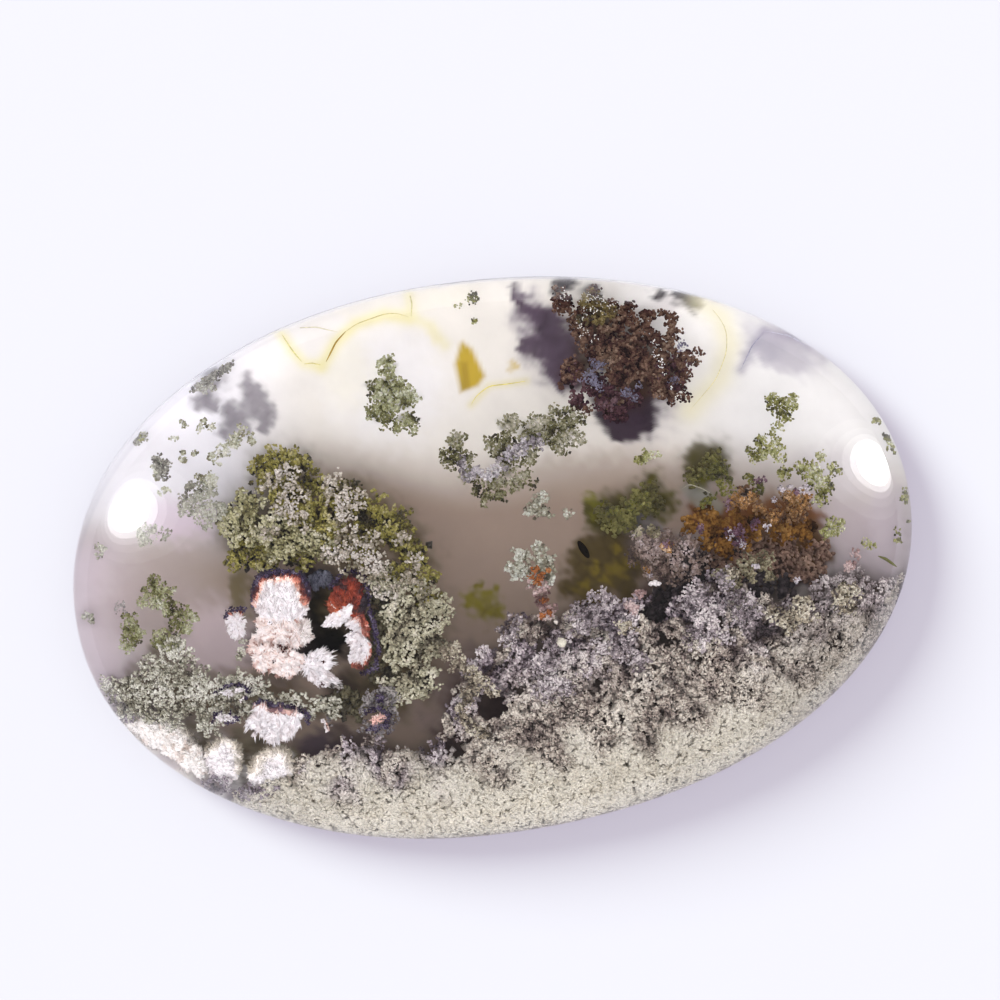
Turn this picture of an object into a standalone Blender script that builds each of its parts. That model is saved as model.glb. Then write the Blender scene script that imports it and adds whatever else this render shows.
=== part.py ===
"""Moss agate cabochon: an oval stone with a flat polished back, a narrow upright girdle and a low dome.

The stone is one natural piece, so it is one solid. It lies on its back at z = 0 with its length along X,
and its origin is the middle of the back face. Sizes are in metres.
"""

import math

import bmesh
import bpy

MM = 0.001

# Driving dimensions of the stone
LENGTH = 42.0 * MM
WIDTH = 27.7 * MM
THICKNESS = 7.0 * MM

# The back edge is eased by a narrow rounded bevel, and the girdle is the upright band above it
BACK_BEVEL = 0.4 * MM
GIRDLE_HEIGHT = 1.2 * MM
DOME_HEIGHT = THICKNESS - BACK_BEVEL - GIRDLE_HEIGHT

# The outline is an oval a little fuller than an ellipse, with one end slightly blunter than the other
OVAL_POWER = 2.08
BLUNT_END = 0.005

# The dome falls slowly from its middle and steeply at the shoulder above the girdle
DOME_FLATNESS = 2.3
SHOULDER_POWER = 0.55

# How finely the faceted solid follows the smooth form
OUTLINE_POINTS = 96
BEVEL_STEPS = 3
DOME_RINGS = 18

STONE_COLOUR = (0.62, 0.60, 0.50, 1.0)
STONE_ROUGHNESS = 0.06
STONE_IOR = 1.54
SHARP_ANGLE = math.radians(40)


def clear_scene():
    """Removes whatever the startup scene holds."""
    for obj in list(bpy.data.objects):
        bpy.data.objects.remove(obj, do_unlink=True)


def oval_outline():
    """The girdle's outline as (x, y) points, anticlockwise, centred on the origin."""
    points = []
    for i in range(OUTLINE_POINTS):
        angle = 2 * math.pi * i / OUTLINE_POINTS
        across, along = math.sin(angle), math.cos(angle)
        radius = (
            abs(2 * along / LENGTH) ** OVAL_POWER + abs(2 * across / WIDTH) ** OVAL_POWER
        ) ** (-1 / OVAL_POWER)
        radius *= 1 + BLUNT_END * math.cos(3 * angle)
        points.append((radius * along, radius * across))
    middle_x = (max(x for x, _ in points) + min(x for x, _ in points)) / 2
    return [(x - middle_x, y) for x, y in points]


def dome_height(share):
    """Height of the dome above the girdle, where share is 0 in the middle and 1 at the outline."""
    return DOME_HEIGHT * (1 - share**DOME_FLATNESS) ** SHOULDER_POWER


def profile():
    """The stone's profile from the back's rim to just under the crown, as (inset, share, height) rings.

    A ring lies on the outline moved in by inset, or shrunk towards the middle by share.
    """
    rings = []
    for i in range(BEVEL_STEPS + 1):
        turn = math.pi / 2 * i / BEVEL_STEPS
        rings.append((BACK_BEVEL * (1 - math.sin(turn)), 1.0, BACK_BEVEL * (1 - math.cos(turn))))
    girdle_top = BACK_BEVEL + GIRDLE_HEIGHT
    rings.append((0.0, 1.0, girdle_top))
    for i in range(1, DOME_RINGS):
        # Equal turns of a quarter circle crowd the rings where the shoulder is steep
        share = math.cos(math.pi / 2 * i / DOME_RINGS)
        rings.append((0.0, share, girdle_top + dome_height(share)))
    return rings


def add_ring(mesh, outline, inset, share, height):
    """Adds one ring of vertices. The inset shortens each radius by the same length."""
    ring = []
    for x, y in outline:
        shrink = share * (1 - inset / math.hypot(x, y))
        ring.append(mesh.verts.new((x * shrink, y * shrink, height)))
    return ring


def bridge(mesh, lower, upper):
    """Joins two rings with a band of four-sided faces that look outwards."""
    for i in range(len(lower)):
        j = (i + 1) % len(lower)
        mesh.faces.new((lower[i], lower[j], upper[j], upper[i]))


def cap_back(mesh, ring):
    """Closes the flat back with one face that looks down."""
    mesh.faces.new(list(reversed(ring)))


def cap_crown(mesh, ring):
    """Closes the dome with triangles that meet at the crown."""
    crown = mesh.verts.new((0.0, 0.0, THICKNESS))
    for i in range(len(ring)):
        mesh.faces.new((ring[i], ring[(i + 1) % len(ring)], crown))


def stone_material():
    """Polished translucent chalcedony in the stone's mean colour."""
    material = bpy.data.materials.new("moss_agate")
    material.use_nodes = True
    shader = material.node_tree.nodes["Principled BSDF"]
    shader.inputs["Base Color"].default_value = STONE_COLOUR
    shader.inputs["Roughness"].default_value = STONE_ROUGHNESS
    shader.inputs["Metallic"].default_value = 0.0
    shader.inputs["IOR"].default_value = STONE_IOR
    return material


def make_cabochon():
    """The whole stone as one closed mesh."""
    outline = oval_outline()
    mesh = bmesh.new()
    rings = [add_ring(mesh, outline, *ring) for ring in profile()]
    for lower, upper in zip(rings, rings[1:]):
        bridge(mesh, lower, upper)
    cap_back(mesh, rings[0])
    cap_crown(mesh, rings[-1])
    data = bpy.data.meshes.new("cabochon")
    mesh.to_mesh(data)
    mesh.free()
    data.shade_smooth()
    data.set_sharp_from_angle(angle=SHARP_ANGLE)
    data.materials.append(stone_material())
    stone = bpy.data.objects.new("cabochon", data)
    bpy.context.scene.collection.objects.link(stone)
    return stone


clear_scene()
make_cabochon()
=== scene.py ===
# %% [markdown]
# # A moss agate cabochon
#
# The real stone is chalcedony: clear to milky quartz in which manganese and iron minerals grew like moss.
# A cutter ground it to an oval with a flat back and polished its dome. We look down on it as it lies on a
# pale table. The script makes the clear polished body first, then the milk inside it, and then the moss,
# the plumes and the veins, each as small lumps sealed in the clear body.

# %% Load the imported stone
import math

import bpy
import numpy as np
from mathutils import Matrix, Vector


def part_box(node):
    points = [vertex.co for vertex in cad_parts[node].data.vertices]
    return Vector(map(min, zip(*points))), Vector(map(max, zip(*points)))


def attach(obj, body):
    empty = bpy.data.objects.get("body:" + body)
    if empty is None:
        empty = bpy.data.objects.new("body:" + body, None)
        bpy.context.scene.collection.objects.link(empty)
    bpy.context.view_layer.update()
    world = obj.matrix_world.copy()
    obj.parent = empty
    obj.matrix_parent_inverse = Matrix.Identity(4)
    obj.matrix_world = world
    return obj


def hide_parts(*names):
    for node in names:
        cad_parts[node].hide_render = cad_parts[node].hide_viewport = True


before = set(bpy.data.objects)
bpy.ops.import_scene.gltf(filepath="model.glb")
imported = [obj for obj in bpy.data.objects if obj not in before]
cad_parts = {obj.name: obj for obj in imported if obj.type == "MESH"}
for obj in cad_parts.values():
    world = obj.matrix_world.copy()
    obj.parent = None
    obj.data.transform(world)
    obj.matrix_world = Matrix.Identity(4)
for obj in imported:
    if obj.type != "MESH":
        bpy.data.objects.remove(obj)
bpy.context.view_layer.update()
MM = 0.001
low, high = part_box("cabochon")
LENGTH, WIDTH, THICKNESS = (high[i] - low[i] for i in range(3))
print(f"stone {LENGTH / MM:.1f} x {WIDTH / MM:.1f} x {THICKNESS / MM:.1f} mm")

# %% [markdown]
# ## The polished form
#
# The girdle's outline is an oval a little fuller than an ellipse, blunter at one end. The dome's height falls
# with the share of the way from the middle to the girdle, slowly at first and steeply at the shoulder. These
# formulas are the ones that the solid was cut with, so the fine skin lies on the solid's facets.

# %% Outline and dome as formulas
BACK_BEVEL = 0.4 * MM
GIRDLE_HEIGHT = 1.2 * MM
GIRDLE_TOP = BACK_BEVEL + GIRDLE_HEIGHT
DOME_HEIGHT = THICKNESS - GIRDLE_TOP
OVAL_POWER = 2.08
BLUNT_END = 0.005
DOME_FLATNESS = 2.3
SHOULDER_POWER = 0.55
OUTLINE_STEPS = 720


def oval_outline(angle):
    """Points (x, y) of the girdle. Radius is (|cos/a|^n + |sin/b|^n)^(-1/n), times 1 + e cos(3 angle)."""
    along, across = np.cos(angle), np.sin(angle)
    radius = (np.abs(2 * along / LENGTH) ** OVAL_POWER
              + np.abs(2 * across / WIDTH) ** OVAL_POWER) ** (-1 / OVAL_POWER)
    radius = radius * (1 + BLUNT_END * np.cos(3 * angle))
    return radius * along, radius * across


def centred_outline():
    """The outline moved along X until its ends are equally far out, as (polar angle, radius) arrays."""
    x, y = oval_outline(np.linspace(-np.pi, np.pi, OUTLINE_STEPS, endpoint=False))
    x = x - (x.max() + x.min()) / 2
    polar = np.arctan2(y, x)
    order = np.argsort(polar)
    return polar[order], np.hypot(x, y)[order]


RIM_ANGLE, RIM_RADIUS = centred_outline()


def rim_radius(angle):
    """Distance from the middle to the girdle in the direction angle."""
    return np.interp(angle, RIM_ANGLE, RIM_RADIUS, period=2 * np.pi)


def share_of_rim(x, y):
    """0 in the middle of the stone and 1 at the girdle."""
    return np.hypot(x, y) / rim_radius(np.arctan2(y, x))


def dome_height(share):
    """Girdle top + dome height x (1 - share^p)^q, and the girdle top beyond the rim."""
    return GIRDLE_TOP + DOME_HEIGHT * (1 - np.clip(share, 0, 1) ** DOME_FLATNESS) ** SHOULDER_POWER


print(f"dome {DOME_HEIGHT / MM:.1f} mm over a girdle top at {GIRDLE_TOP / MM:.1f} mm")

# %% [markdown]
# ## The camera
#
# The photograph looks almost straight down at the dome, leaning 9 degrees towards the top of the picture,
# from far away, so the lens is long. The camera comes first because every inclusion is placed by looking
# through a point of the picture.

# %% Camera at the photograph's viewing angle
PICTURE = 1000
SENSOR = 36.0
FOCAL_PIXELS = 5032
CAMERA_DISTANCE = 250 * MM
LEAN = math.radians(9)
LEAN_TOWARDS = math.radians(110)
ROLL = math.radians(-7.57)
TARGET = np.array([0, 0, 2 * MM])
TARGET_PIXEL = (495.25, 560.08)
NEAREST = 0.01
FARTHEST = 10


def camera_axes():
    """The camera's right, up and backward directions as unit rows."""
    back = np.array([math.sin(LEAN) * math.cos(LEAN_TOWARDS),
                     math.sin(LEAN) * math.sin(LEAN_TOWARDS), math.cos(LEAN)])
    right = np.cross([0, 1, 0], back)
    right /= np.linalg.norm(right)
    up = np.cross(back, right)
    rolled_right = math.cos(ROLL) * right + math.sin(ROLL) * up
    rolled_up = math.cos(ROLL) * up - math.sin(ROLL) * right
    return rolled_right, rolled_up, back


RIGHT, UP, BACK = camera_axes()
PIXEL_AT_TARGET = CAMERA_DISTANCE / FOCAL_PIXELS
CAMERA_PLACE = (TARGET + CAMERA_DISTANCE * BACK
                + (PICTURE / 2 - TARGET_PIXEL[0]) * PIXEL_AT_TARGET * RIGHT
                - (PICTURE / 2 - TARGET_PIXEL[1]) * PIXEL_AT_TARGET * UP)

camera_data = bpy.data.cameras.new("camera")
camera_data.sensor_width = SENSOR
camera_data.lens = FOCAL_PIXELS * SENSOR / PICTURE
camera_data.clip_start = NEAREST
camera_data.clip_end = FARTHEST
camera = bpy.data.objects.new("camera", camera_data)
bpy.context.scene.collection.objects.link(camera)
camera.matrix_world = Matrix([(*row, 0) for row in (RIGHT, UP, BACK)] + [(*CAMERA_PLACE, 1)]).transposed()
bpy.context.scene.camera = camera
print(f"lens {camera_data.lens:.0f} mm, one pixel is {PIXEL_AT_TARGET / MM:.4f} mm on the stone")

# %% [markdown]
# ## Looking into the stone
#
# Light bends where it leaves the polished dome, so what shows at one point of the picture lies a little to
# the side of it. This helper follows the sight line back: from the camera to the dome, bent by Snell's law,
# and on down into the stone. With it an inclusion is placed by a picture point and a depth, and still sits
# truly inside the stone from every side.

# %% From a picture point to a place in the stone
STONE_IOR = 1.54
HALVINGS = 40
LOWEST_ENTRY = 0.5 * GIRDLE_TOP
SLOPE_STEP = 0.01 * MM


def sight_lines(px, py):
    """Unit directions from the camera through picture points."""
    way = (np.multiply.outer(px - PICTURE / 2, RIGHT) - np.multiply.outer(py - PICTURE / 2, UP)
           - FOCAL_PIXELS * BACK)
    return way / np.linalg.norm(way, axis=-1, keepdims=True)


def along(start, way, reach):
    return start + reach[..., None] * way


def meet_dome(way):
    """Where the sight lines meet the dome: the gap above it is halved until it closes."""
    above = (THICKNESS - CAMERA_PLACE[2]) / way[..., 2]
    below = (LOWEST_ENTRY - CAMERA_PLACE[2]) / way[..., 2]
    for _ in range(HALVINGS):
        middle = (above + below) / 2
        p = along(CAMERA_PLACE, way, middle)
        outside = p[..., 2] > dome_height(share_of_rim(p[..., 0], p[..., 1]))
        above = np.where(outside, middle, above)
        below = np.where(outside, below, middle)
    return along(CAMERA_PLACE, way, above)


def dome_normal(x, y):
    """The dome's outward normal, from the slope of its height across two small steps."""
    step = SLOPE_STEP
    slope_x = (dome_height(share_of_rim(x + step, y)) - dome_height(share_of_rim(x - step, y))) / (2 * step)
    slope_y = (dome_height(share_of_rim(x, y + step)) - dome_height(share_of_rim(x, y - step))) / (2 * step)
    normal = np.stack([-slope_x, -slope_y, np.ones_like(x)], -1)
    return normal / np.linalg.norm(normal, axis=-1, keepdims=True)


def bend(way, normal):
    """Snell's law: (way + (c - n cos t) normal) / n, where c is the cosine on the way in."""
    cosine = -(way * normal).sum(-1, keepdims=True)
    inner = np.sqrt(1 - (1 - cosine**2) / STONE_IOR**2)
    return way / STONE_IOR + (cosine / STONE_IOR - inner) * normal


def look_into(px, py, height=None, depth=None):
    """Places in the stone seen at picture points, at a height above the table or a depth under the polish.

    Also gives each point's share of the way to the rim where its sight line meets the dome.
    """
    px, py = np.broadcast_arrays(np.asarray(px, float), np.asarray(py, float))
    way = sight_lines(px, py)
    entry = meet_dome(way)
    inner = bend(way, dome_normal(entry[..., 0], entry[..., 1]))
    goal = entry[..., 2] - depth if height is None else np.minimum(height, entry[..., 2])
    reach = (goal - entry[..., 2]) / inner[..., 2]
    return along(entry, inner, reach), share_of_rim(entry[..., 0], entry[..., 1])


middle_place, _ = look_into(*TARGET_PIXEL, height=1 * MM)
print("1 mm up, the stone's middle lies at", np.round(middle_place / MM, 2), "mm")

# %% [markdown]
# ## Small helpers
#
# Every piece is worked out as numpy arrays of points, faces and colours and put into its mesh in one go.
# Colours are written as they look on a screen, from 0 to 255, and changed to the light values that Blender
# uses.

# %% Arrays into a mesh, screen colours into light
def light_value(*screen):
    """A screen colour from 0 to 255 as linear light from 0 to 1."""
    c = np.asarray(screen, float) / 255
    return np.where(c <= 0.04045, c / 12.92, ((c + 0.055) / 1.055) ** 2.4)


def shades(*screens):
    """Several screen colours, given as rows of red, green and blue, as linear light."""
    return [light_value(*screen) for screen in screens]


def new_piece(name, points, faces, material, colours=None):
    """A smooth mesh of faces with as many corners as the rows of each array in faces have."""
    mesh = bpy.data.meshes.new(name)
    corners = np.concatenate([f.ravel() for f in faces])
    sizes = np.concatenate([np.full(len(f), f.shape[1]) for f in faces])
    mesh.vertices.add(len(points))
    mesh.vertices.foreach_set("co", np.ascontiguousarray(points, np.float32).ravel())
    mesh.loops.add(len(corners))
    mesh.loops.foreach_set("vertex_index", corners.astype(np.int32))
    mesh.polygons.add(len(sizes))
    mesh.polygons.foreach_set("loop_start", (np.cumsum(sizes) - sizes).astype(np.int32))
    mesh.update(calc_edges=True)
    mesh.polygons.foreach_set("use_smooth", np.ones(len(sizes), bool))
    if colours is not None:
        layer = mesh.attributes.new("tint", "FLOAT_COLOR", "POINT")
        opaque = np.concatenate([colours, np.ones((len(colours), 1))], 1)
        layer.data.foreach_set("color", np.ascontiguousarray(opaque, np.float32).ravel())
    mesh.materials.append(material)
    piece = bpy.data.objects.new(name, mesh)
    bpy.context.scene.collection.objects.link(piece)
    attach(piece, "root")
    print(f"{name}: {len(points)} points, {int((sizes - 2).sum())} triangles")
    return piece


def grid_faces(rows, columns):
    """Four-cornered faces of a grid of points whose columns close in a ring."""
    r, c = np.meshgrid(np.arange(rows - 1), np.arange(columns), indexing="ij")
    a, b = r * columns + c, r * columns + (c + 1) % columns
    return np.stack([a, b, b + columns, a + columns], -1).reshape(-1, 4)


def fan_faces(pole, ring, flip=False):
    """Triangles from one pole to a ring of points."""
    following = np.roll(ring, -1)
    ends = (following, ring) if flip else (ring, following)
    return np.stack([ends[0], ends[1], np.full(len(ring), pole)], -1)


def new_material(name):
    """An empty node tree with a Principled shader wired to the output."""
    material = bpy.data.materials.new(name)
    material.use_nodes = True
    return material, material.node_tree, material.node_tree.nodes["Principled BSDF"]


def add_node(tree, kind, **values):
    """A node of that kind with its settings or its inputs set by name."""
    node = tree.nodes.new(kind)
    for key, value in values.items():
        if hasattr(node, key):
            setattr(node, key, value)
        else:
            node.inputs[key.replace("_", " ")].default_value = value
    return node


NOISE_LOW = 0.3
NOISE_HIGH = 0.7


def tinted_material(name, scale, detail, darkest, palest, roughness, gloss=0.5):
    """The mesh's own tint times noise that goes from the darkest to the palest share of it."""
    material, tree, shader = new_material(name)
    tint = add_node(tree, "ShaderNodeAttribute", attribute_name="tint")
    place = add_node(tree, "ShaderNodeTexCoord")
    noise = add_node(tree, "ShaderNodeTexNoise", Scale=scale, Detail=detail)
    strength = add_node(tree, "ShaderNodeMapRange", From_Min=NOISE_LOW, From_Max=NOISE_HIGH, To_Min=darkest,
                        To_Max=palest)
    shade = add_node(tree, "ShaderNodeVectorMath", operation="MULTIPLY")
    tree.links.new(place.outputs["Object"], noise.inputs["Vector"])
    tree.links.new(noise.outputs["Fac"], strength.inputs["Value"])
    tree.links.new(tint.outputs["Color"], shade.inputs[0])
    tree.links.new(strength.outputs["Result"], shade.inputs[1])
    tree.links.new(shade.outputs["Vector"], shader.inputs["Base Color"])
    shader.inputs["Roughness"].default_value = roughness
    shader.inputs["Specular IOR Level"].default_value = gloss
    return material, tree, shader, noise


# %% [markdown]
# ## The clear polished skin
#
# Polished chalcedony is a clear, slightly warm glass to the eye. The skin is one closed surface, the profile
# carried round the outline: the flat back, the eased edge, the girdle, the dome. It stands for the solid.

# %% Skin mesh
SKIN_COLUMNS = 384
BACK_RINGS = 12
BEVEL_RINGS = 8
GIRDLE_RINGS = 4
DOME_RINGS = 96


def skin_profile():
    """Rings from the back's middle to the crown, as (share, inset, height) arrays."""
    back = np.linspace(0, 1, BACK_RINGS, endpoint=False)[1:]
    turn = np.linspace(0, np.pi / 2, BEVEL_RINGS)
    wall = np.linspace(BACK_BEVEL, GIRDLE_TOP, GIRDLE_RINGS + 1)[1:]
    rise = np.cos(np.linspace(0, np.pi / 2, DOME_RINGS, endpoint=False)[1:])
    share = np.concatenate([back, np.ones(BEVEL_RINGS + GIRDLE_RINGS), rise])
    inset = np.concatenate([BACK_BEVEL * back, BACK_BEVEL * (1 - np.sin(turn)),
                            np.zeros(GIRDLE_RINGS + len(rise))])
    height = np.concatenate([np.zeros(len(back)), BACK_BEVEL * (1 - np.cos(turn)), wall, dome_height(rise)])
    return share, inset, height


def make_skin(material):
    """Point (i, j) lies at radius share_i R_j - inset_i and height_i, with a pole at each end."""
    share, inset, height = skin_profile()
    angle = np.linspace(0, 2 * np.pi, SKIN_COLUMNS, endpoint=False)
    radius = np.outer(share, rim_radius(angle)) - inset[:, None]
    x, y = radius * np.cos(angle), radius * np.sin(angle)
    z = np.repeat(height, SKIN_COLUMNS).reshape(x.shape)
    points = np.concatenate([np.stack([x, y, z], -1).reshape(-1, 3), [[0, 0, 0], [0, 0, THICKNESS]]])
    rows = len(share)
    first, last = np.arange(SKIN_COLUMNS), (rows - 1) * SKIN_COLUMNS + np.arange(SKIN_COLUMNS)
    poles = rows * SKIN_COLUMNS
    faces = [grid_faces(rows, SKIN_COLUMNS), fan_faces(poles, first, flip=True), fan_faces(poles + 1, last)]
    return new_piece("polished_skin", points, faces, material)


# %% Skin material
POLISH_ROUGHNESS = 0.03
SKIN_TINT = (0.985, 0.98, 0.965, 1)
ABSORBED = (1.0, 0.95, 0.86, 1)
ABSORPTION_PER_METRE = 12.0

clear_agate, tree, shader = new_material("clear_agate")
shader.inputs["Base Color"].default_value = SKIN_TINT
shader.inputs["Roughness"].default_value = POLISH_ROUGHNESS
shader.inputs["IOR"].default_value = STONE_IOR
shader.inputs["Transmission Weight"].default_value = 1.0
absorption = add_node(tree, "ShaderNodeVolumeAbsorption", Color=ABSORBED, Density=ABSORPTION_PER_METRE)
tree.links.new(absorption.outputs["Volume"], tree.nodes["Material Output"].inputs["Volume"])
skin = make_skin(clear_agate)
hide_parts("cabochon")

# %% [markdown]
# ## The milk
#
# Under the clear top the chalcedony is clouded: bright cream above, taupe in the middle, lavender at the
# left. The cream above and the white on the right are painted light that stands for light through the
# stone from behind, and the taupe is painted shade. It is one thin sheet near the back. Its points are laid
# out in the picture's own oval and sent down into the stone, so its colour can be worked out where we see
# it. Moss that lies too deep to be sharp is painted on it as soft lobed blurs.

# %% Layout of the milk sheet
OVAL_MIDDLE = (493.4, 556.4)
OVAL_HALF = (421.6, 276.4)
OVAL_TURN = math.radians(-8.2)
MILK_COLUMNS = 520
MILK_ROWS = 170
MILK_REACH = 0.995
MILK_HEIGHT = 0.7 * MM
MILK_THICKNESS = 0.3 * MM
WALL_GAP = 0.3 * MM


def oval_pixels(share, angle):
    """Picture points at that share of the way from the oval's middle to its edge."""
    a, b = OVAL_HALF[0] * share * np.cos(angle), OVAL_HALF[1] * share * np.sin(angle)
    return (OVAL_MIDDLE[0] + a * math.cos(OVAL_TURN) - b * math.sin(OVAL_TURN),
            OVAL_MIDDLE[1] + a * math.sin(OVAL_TURN) + b * math.cos(OVAL_TURN))


# %% Soft tools for colour
WAVE_COUNT = 9
WAVE_SUM = 7
JITTER_SIZE = 64
BUMP_BEND = 1.6
BUMP_WAVES = 3
CLUMP_WIDTH = 1.05


def soft_step(value, start, end):
    """0 before start, 1 after end, and a smooth s-curve between."""
    t = np.clip((value - start) / (end - start), 0, 1)
    return t * t * (3 - 2 * t)


def waves(px, py, scale, seed):
    """Soft cloudiness from 0 to 1: the sum of sines in random directions, about scale pixels long."""
    chance = np.random.default_rng(seed)
    total = np.zeros(np.shape(px))
    for turn, phase, stretch in zip(*chance.random((3, WAVE_COUNT))):
        way = 2 * np.pi * turn
        total += np.sin((px * np.cos(way) + py * np.sin(way)) * 2 * np.pi / (scale * (0.6 + 0.8 * stretch))
                        + 2 * np.pi * phase)
    return np.clip(0.5 + total / WAVE_SUM, 0, 1)


def blend(base, colour, amount):
    """Goes from base to colour as amount goes from 0 to 1."""
    return base + (colour - base) * amount[..., None]


def spot_share(px, py, x, y, wide, tall, turn):
    """How far a point is from the middle of a turned ellipse, as a share of the way to its edge."""
    c, s = math.cos(math.radians(turn)), math.sin(math.radians(turn))
    dx, dy = px - x, py - y
    return np.hypot((dx * c + dy * s) / wide, (dy * c - dx * s) / tall)


def inside_shape(px, py, corners, soft):
    """1 inside a convex shape whose corners go round clockwise, fading to 0 over soft pixels at its sides."""
    corners = np.array(corners, float)
    sides = np.roll(corners, -1, axis=0) - corners
    outwards = np.stack([sides[:, 1], -sides[:, 0]], -1) / np.linalg.norm(sides, axis=1, keepdims=True)
    away = ((px[..., None] - corners[:, 0]) * outwards[:, 0]
            + (py[..., None] - corners[:, 1]) * outwards[:, 1]).max(-1)
    return 1 - soft_step(away, -soft / 2, soft / 2)


def bumps(px, py, size, seed):
    """Round bumps about size pixels wide, whose middles lie on a grid moved by chance and bent by waves.

    Gives the height, 1 - (distance to the nearest middle / size)^2, and that bump's own number from 0 to 1.
    """
    chance = np.random.default_rng(seed)
    jitter, number = chance.random((2, JITTER_SIZE, JITTER_SIZE)), chance.random((JITTER_SIZE, JITTER_SIZE))
    bent_x = px + BUMP_BEND * size * (waves(px, py, BUMP_WAVES * size, seed) - 0.5)
    bent_y = py + BUMP_BEND * size * (waves(px, py, BUMP_WAVES * size, seed + 1) - 0.5)
    ix, iy = np.floor(bent_x / size).astype(int), np.floor(bent_y / size).astype(int)
    near = [(ix + dx, iy + dy) for dx in (-1, 0, 1) for dy in (-1, 0, 1)]
    cells = [(i % JITTER_SIZE, j % JITTER_SIZE) for i, j in near]
    away = np.stack([np.hypot(i + jitter[0][cell] - bent_x / size, j + jitter[1][cell] - bent_y / size)
                     for (i, j), cell in zip(near, cells)])
    own = np.stack([number[cell] for cell in cells])
    closest = np.take_along_axis(own, away.argmin(0)[None], 0)[0]
    return 1 - np.clip(away.min(0), 0, 1) ** 2, closest


def clump_cover(px, py, clumps):
    """1 inside round clumps, 0 away from them: 1 - product of (1 - exp(-(distance / (w radius))^3))."""
    x, y, radius = np.array(clumps, float).T
    share = np.hypot(px[..., None] - x, py[..., None] - y) / radius
    return 1 - (1 - np.exp(-(share / CLUMP_WIDTH) ** 3)).prod(-1)


def line_distance(px, py, corners):
    """Distance in pixels from a line through the corners."""
    corners = np.array(corners, float)
    nearest = np.full(px.shape, np.inf)
    for start, end in zip(corners[:-1], corners[1:]):
        side = end - start
        t = np.clip(((px - start[0]) * side[0] + (py - start[1]) * side[1]) / (side @ side), 0, 1)
        nearest = np.minimum(nearest, np.hypot(px - start[0] - t * side[0], py - start[1] - t * side[1]))
    return nearest


# %% Clouds, blurs and stains in the milk
# Painted light and shade: the cream and the white stand for light through the stone from behind, the taupe
# for shade
BACKLIT_CREAM = light_value(241, 237, 231)
BACKLIT_WHITE = light_value(238, 238, 240)
SHADE_TAUPE = light_value(159, 141, 129)
LAVENDER = light_value(187, 177, 174)
VIOLET_WHITE = light_value(248, 247, 255)
ROSE_GREY = light_value(164, 154, 160)
RIM_LAVENDER = light_value(222, 209, 222)
GIRDLE_GREY = light_value(150, 156, 184)
# Painted shade under the bank, which shows dark in the gaps and hollows between its crumbs
BANK_GAP_SHADE = light_value(92, 82, 78)
MILK_SHARE = 0.8
# Painted light on the milk towards the upper rim, where less light reaches it through the dome
RIM_LIGHT_PAINTED = 0.36
CRUST_TONE = light_value(206, 197, 180)
CRUST_EDGE = np.array([
    (250, 792), (300, 778), (400, 772), (480, 766), (560, 750), (640, 732), (700, 714), (760, 690),
    (820, 658), (880, 622)])
SPOT_START = 0.4
SPOT_END = 1.3
LEVEL_WAVE = 30
LEVEL_SCALE = 260
# How far the spots and blurs are bent, and how long the bending waves are, in pixels
SPOT_WAVES = [(10, 34), (6, 13)]
KNOB_SIZE = 13
GIRDLE_LINE = (0.993, 0.999)
BANK_EDGE = np.array([
    (180, 830), (222, 800), (262, 786), (301, 758), (341, 743), (372, 738), (410, 752), (440, 745),
    (448, 700), (470, 655), (498, 648), (518, 622), (550, 618), (583, 602), (610, 608), (638, 593),
    (660, 603), (685, 597), (700, 578), (724, 570), (744, 588), (770, 600), (791, 605), (812, 590),
    (830, 575), (858, 568), (875, 580), (891, 582), (905, 568), (930, 550)])

# Ovals: x, y, half width, half height, turn in degrees, red, green, blue, strength
SPOTS = [
    (214, 640, 50, 44, 0, 210, 194, 198, 1.0), (388, 384, 68, 64, 0, 247, 245, 247, 1.0),
    # The near-white oval at 670, 318 is painted light from behind, which outweighs the shade of the brown
    # moss above it
    (425, 300, 60, 14, -8, 246, 241, 228, 0.6), (670, 318, 66, 54, 0, 255, 253, 252, 0.9),
    (434, 333, 14, 8, 40, 246, 238, 200, 0.5), (352, 376, 30, 40, 0, 248, 244, 226, 0.5),
    (514, 369, 8, 9, 0, 216, 192, 122, 0.8), (672, 304, 30, 14, -10, 206, 196, 198, 0.4),
    (178, 520, 42, 26, 0, 228, 208, 228, 0.6), (784, 350, 46, 20, 28, 186, 182, 194, 0.8),
    (765, 352, 20, 16, 20, 176, 172, 186, 0.7), (600, 480, 120, 30, -4, 160, 142, 129, 0.5),
    (700, 497, 24, 13, -10, 170, 160, 160, 0.6), (318, 606, 19, 40, 0, 12, 11, 14, 1.0),
    (332, 640, 30, 22, 0, 12, 11, 13, 1.0), (310, 652, 18, 12, 0, 24, 20, 22, 1.0),
    (280, 640, 34, 50, 0, 60, 50, 52, 0.8), (300, 582, 46, 12, 0, 34, 28, 44, 0.9),
    (372, 640, 9, 40, 8, 30, 28, 48, 0.9), (346, 690, 26, 22, 0, 62, 52, 46, 0.9),
    (350, 706, 22, 14, 0, 88, 84, 44, 0.8), (320, 746, 30, 14, 0, 88, 76, 88, 0.9),
    (352, 736, 26, 12, 0, 84, 72, 74, 0.8), (240, 594, 13, 36, 0, 110, 100, 66, 0.8),
    (268, 690, 40, 10, 0, 100, 86, 74, 0.85), (257, 744, 14, 8, 0, 74, 62, 60, 0.9),
    (243, 762, 5, 24, 0, 70, 56, 54, 0.9), (236, 788, 50, 10, 22, 136, 124, 134, 0.8),
    (500, 706, 22, 24, 0, 62, 50, 50, 1.0), (466, 690, 34, 46, 0, 84, 70, 68, 0.85),
    (452, 742, 22, 20, 0, 78, 64, 64, 0.9), (150, 600, 60, 40, -20, 176, 160, 160, 0.5),
    (840, 520, 50, 40, 0, 188, 176, 180, 0.5), (832, 470, 44, 26, 0, 206, 200, 206, 0.6),
    (888, 520, 20, 50, 0, 190, 180, 188, 0.7),
]

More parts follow.
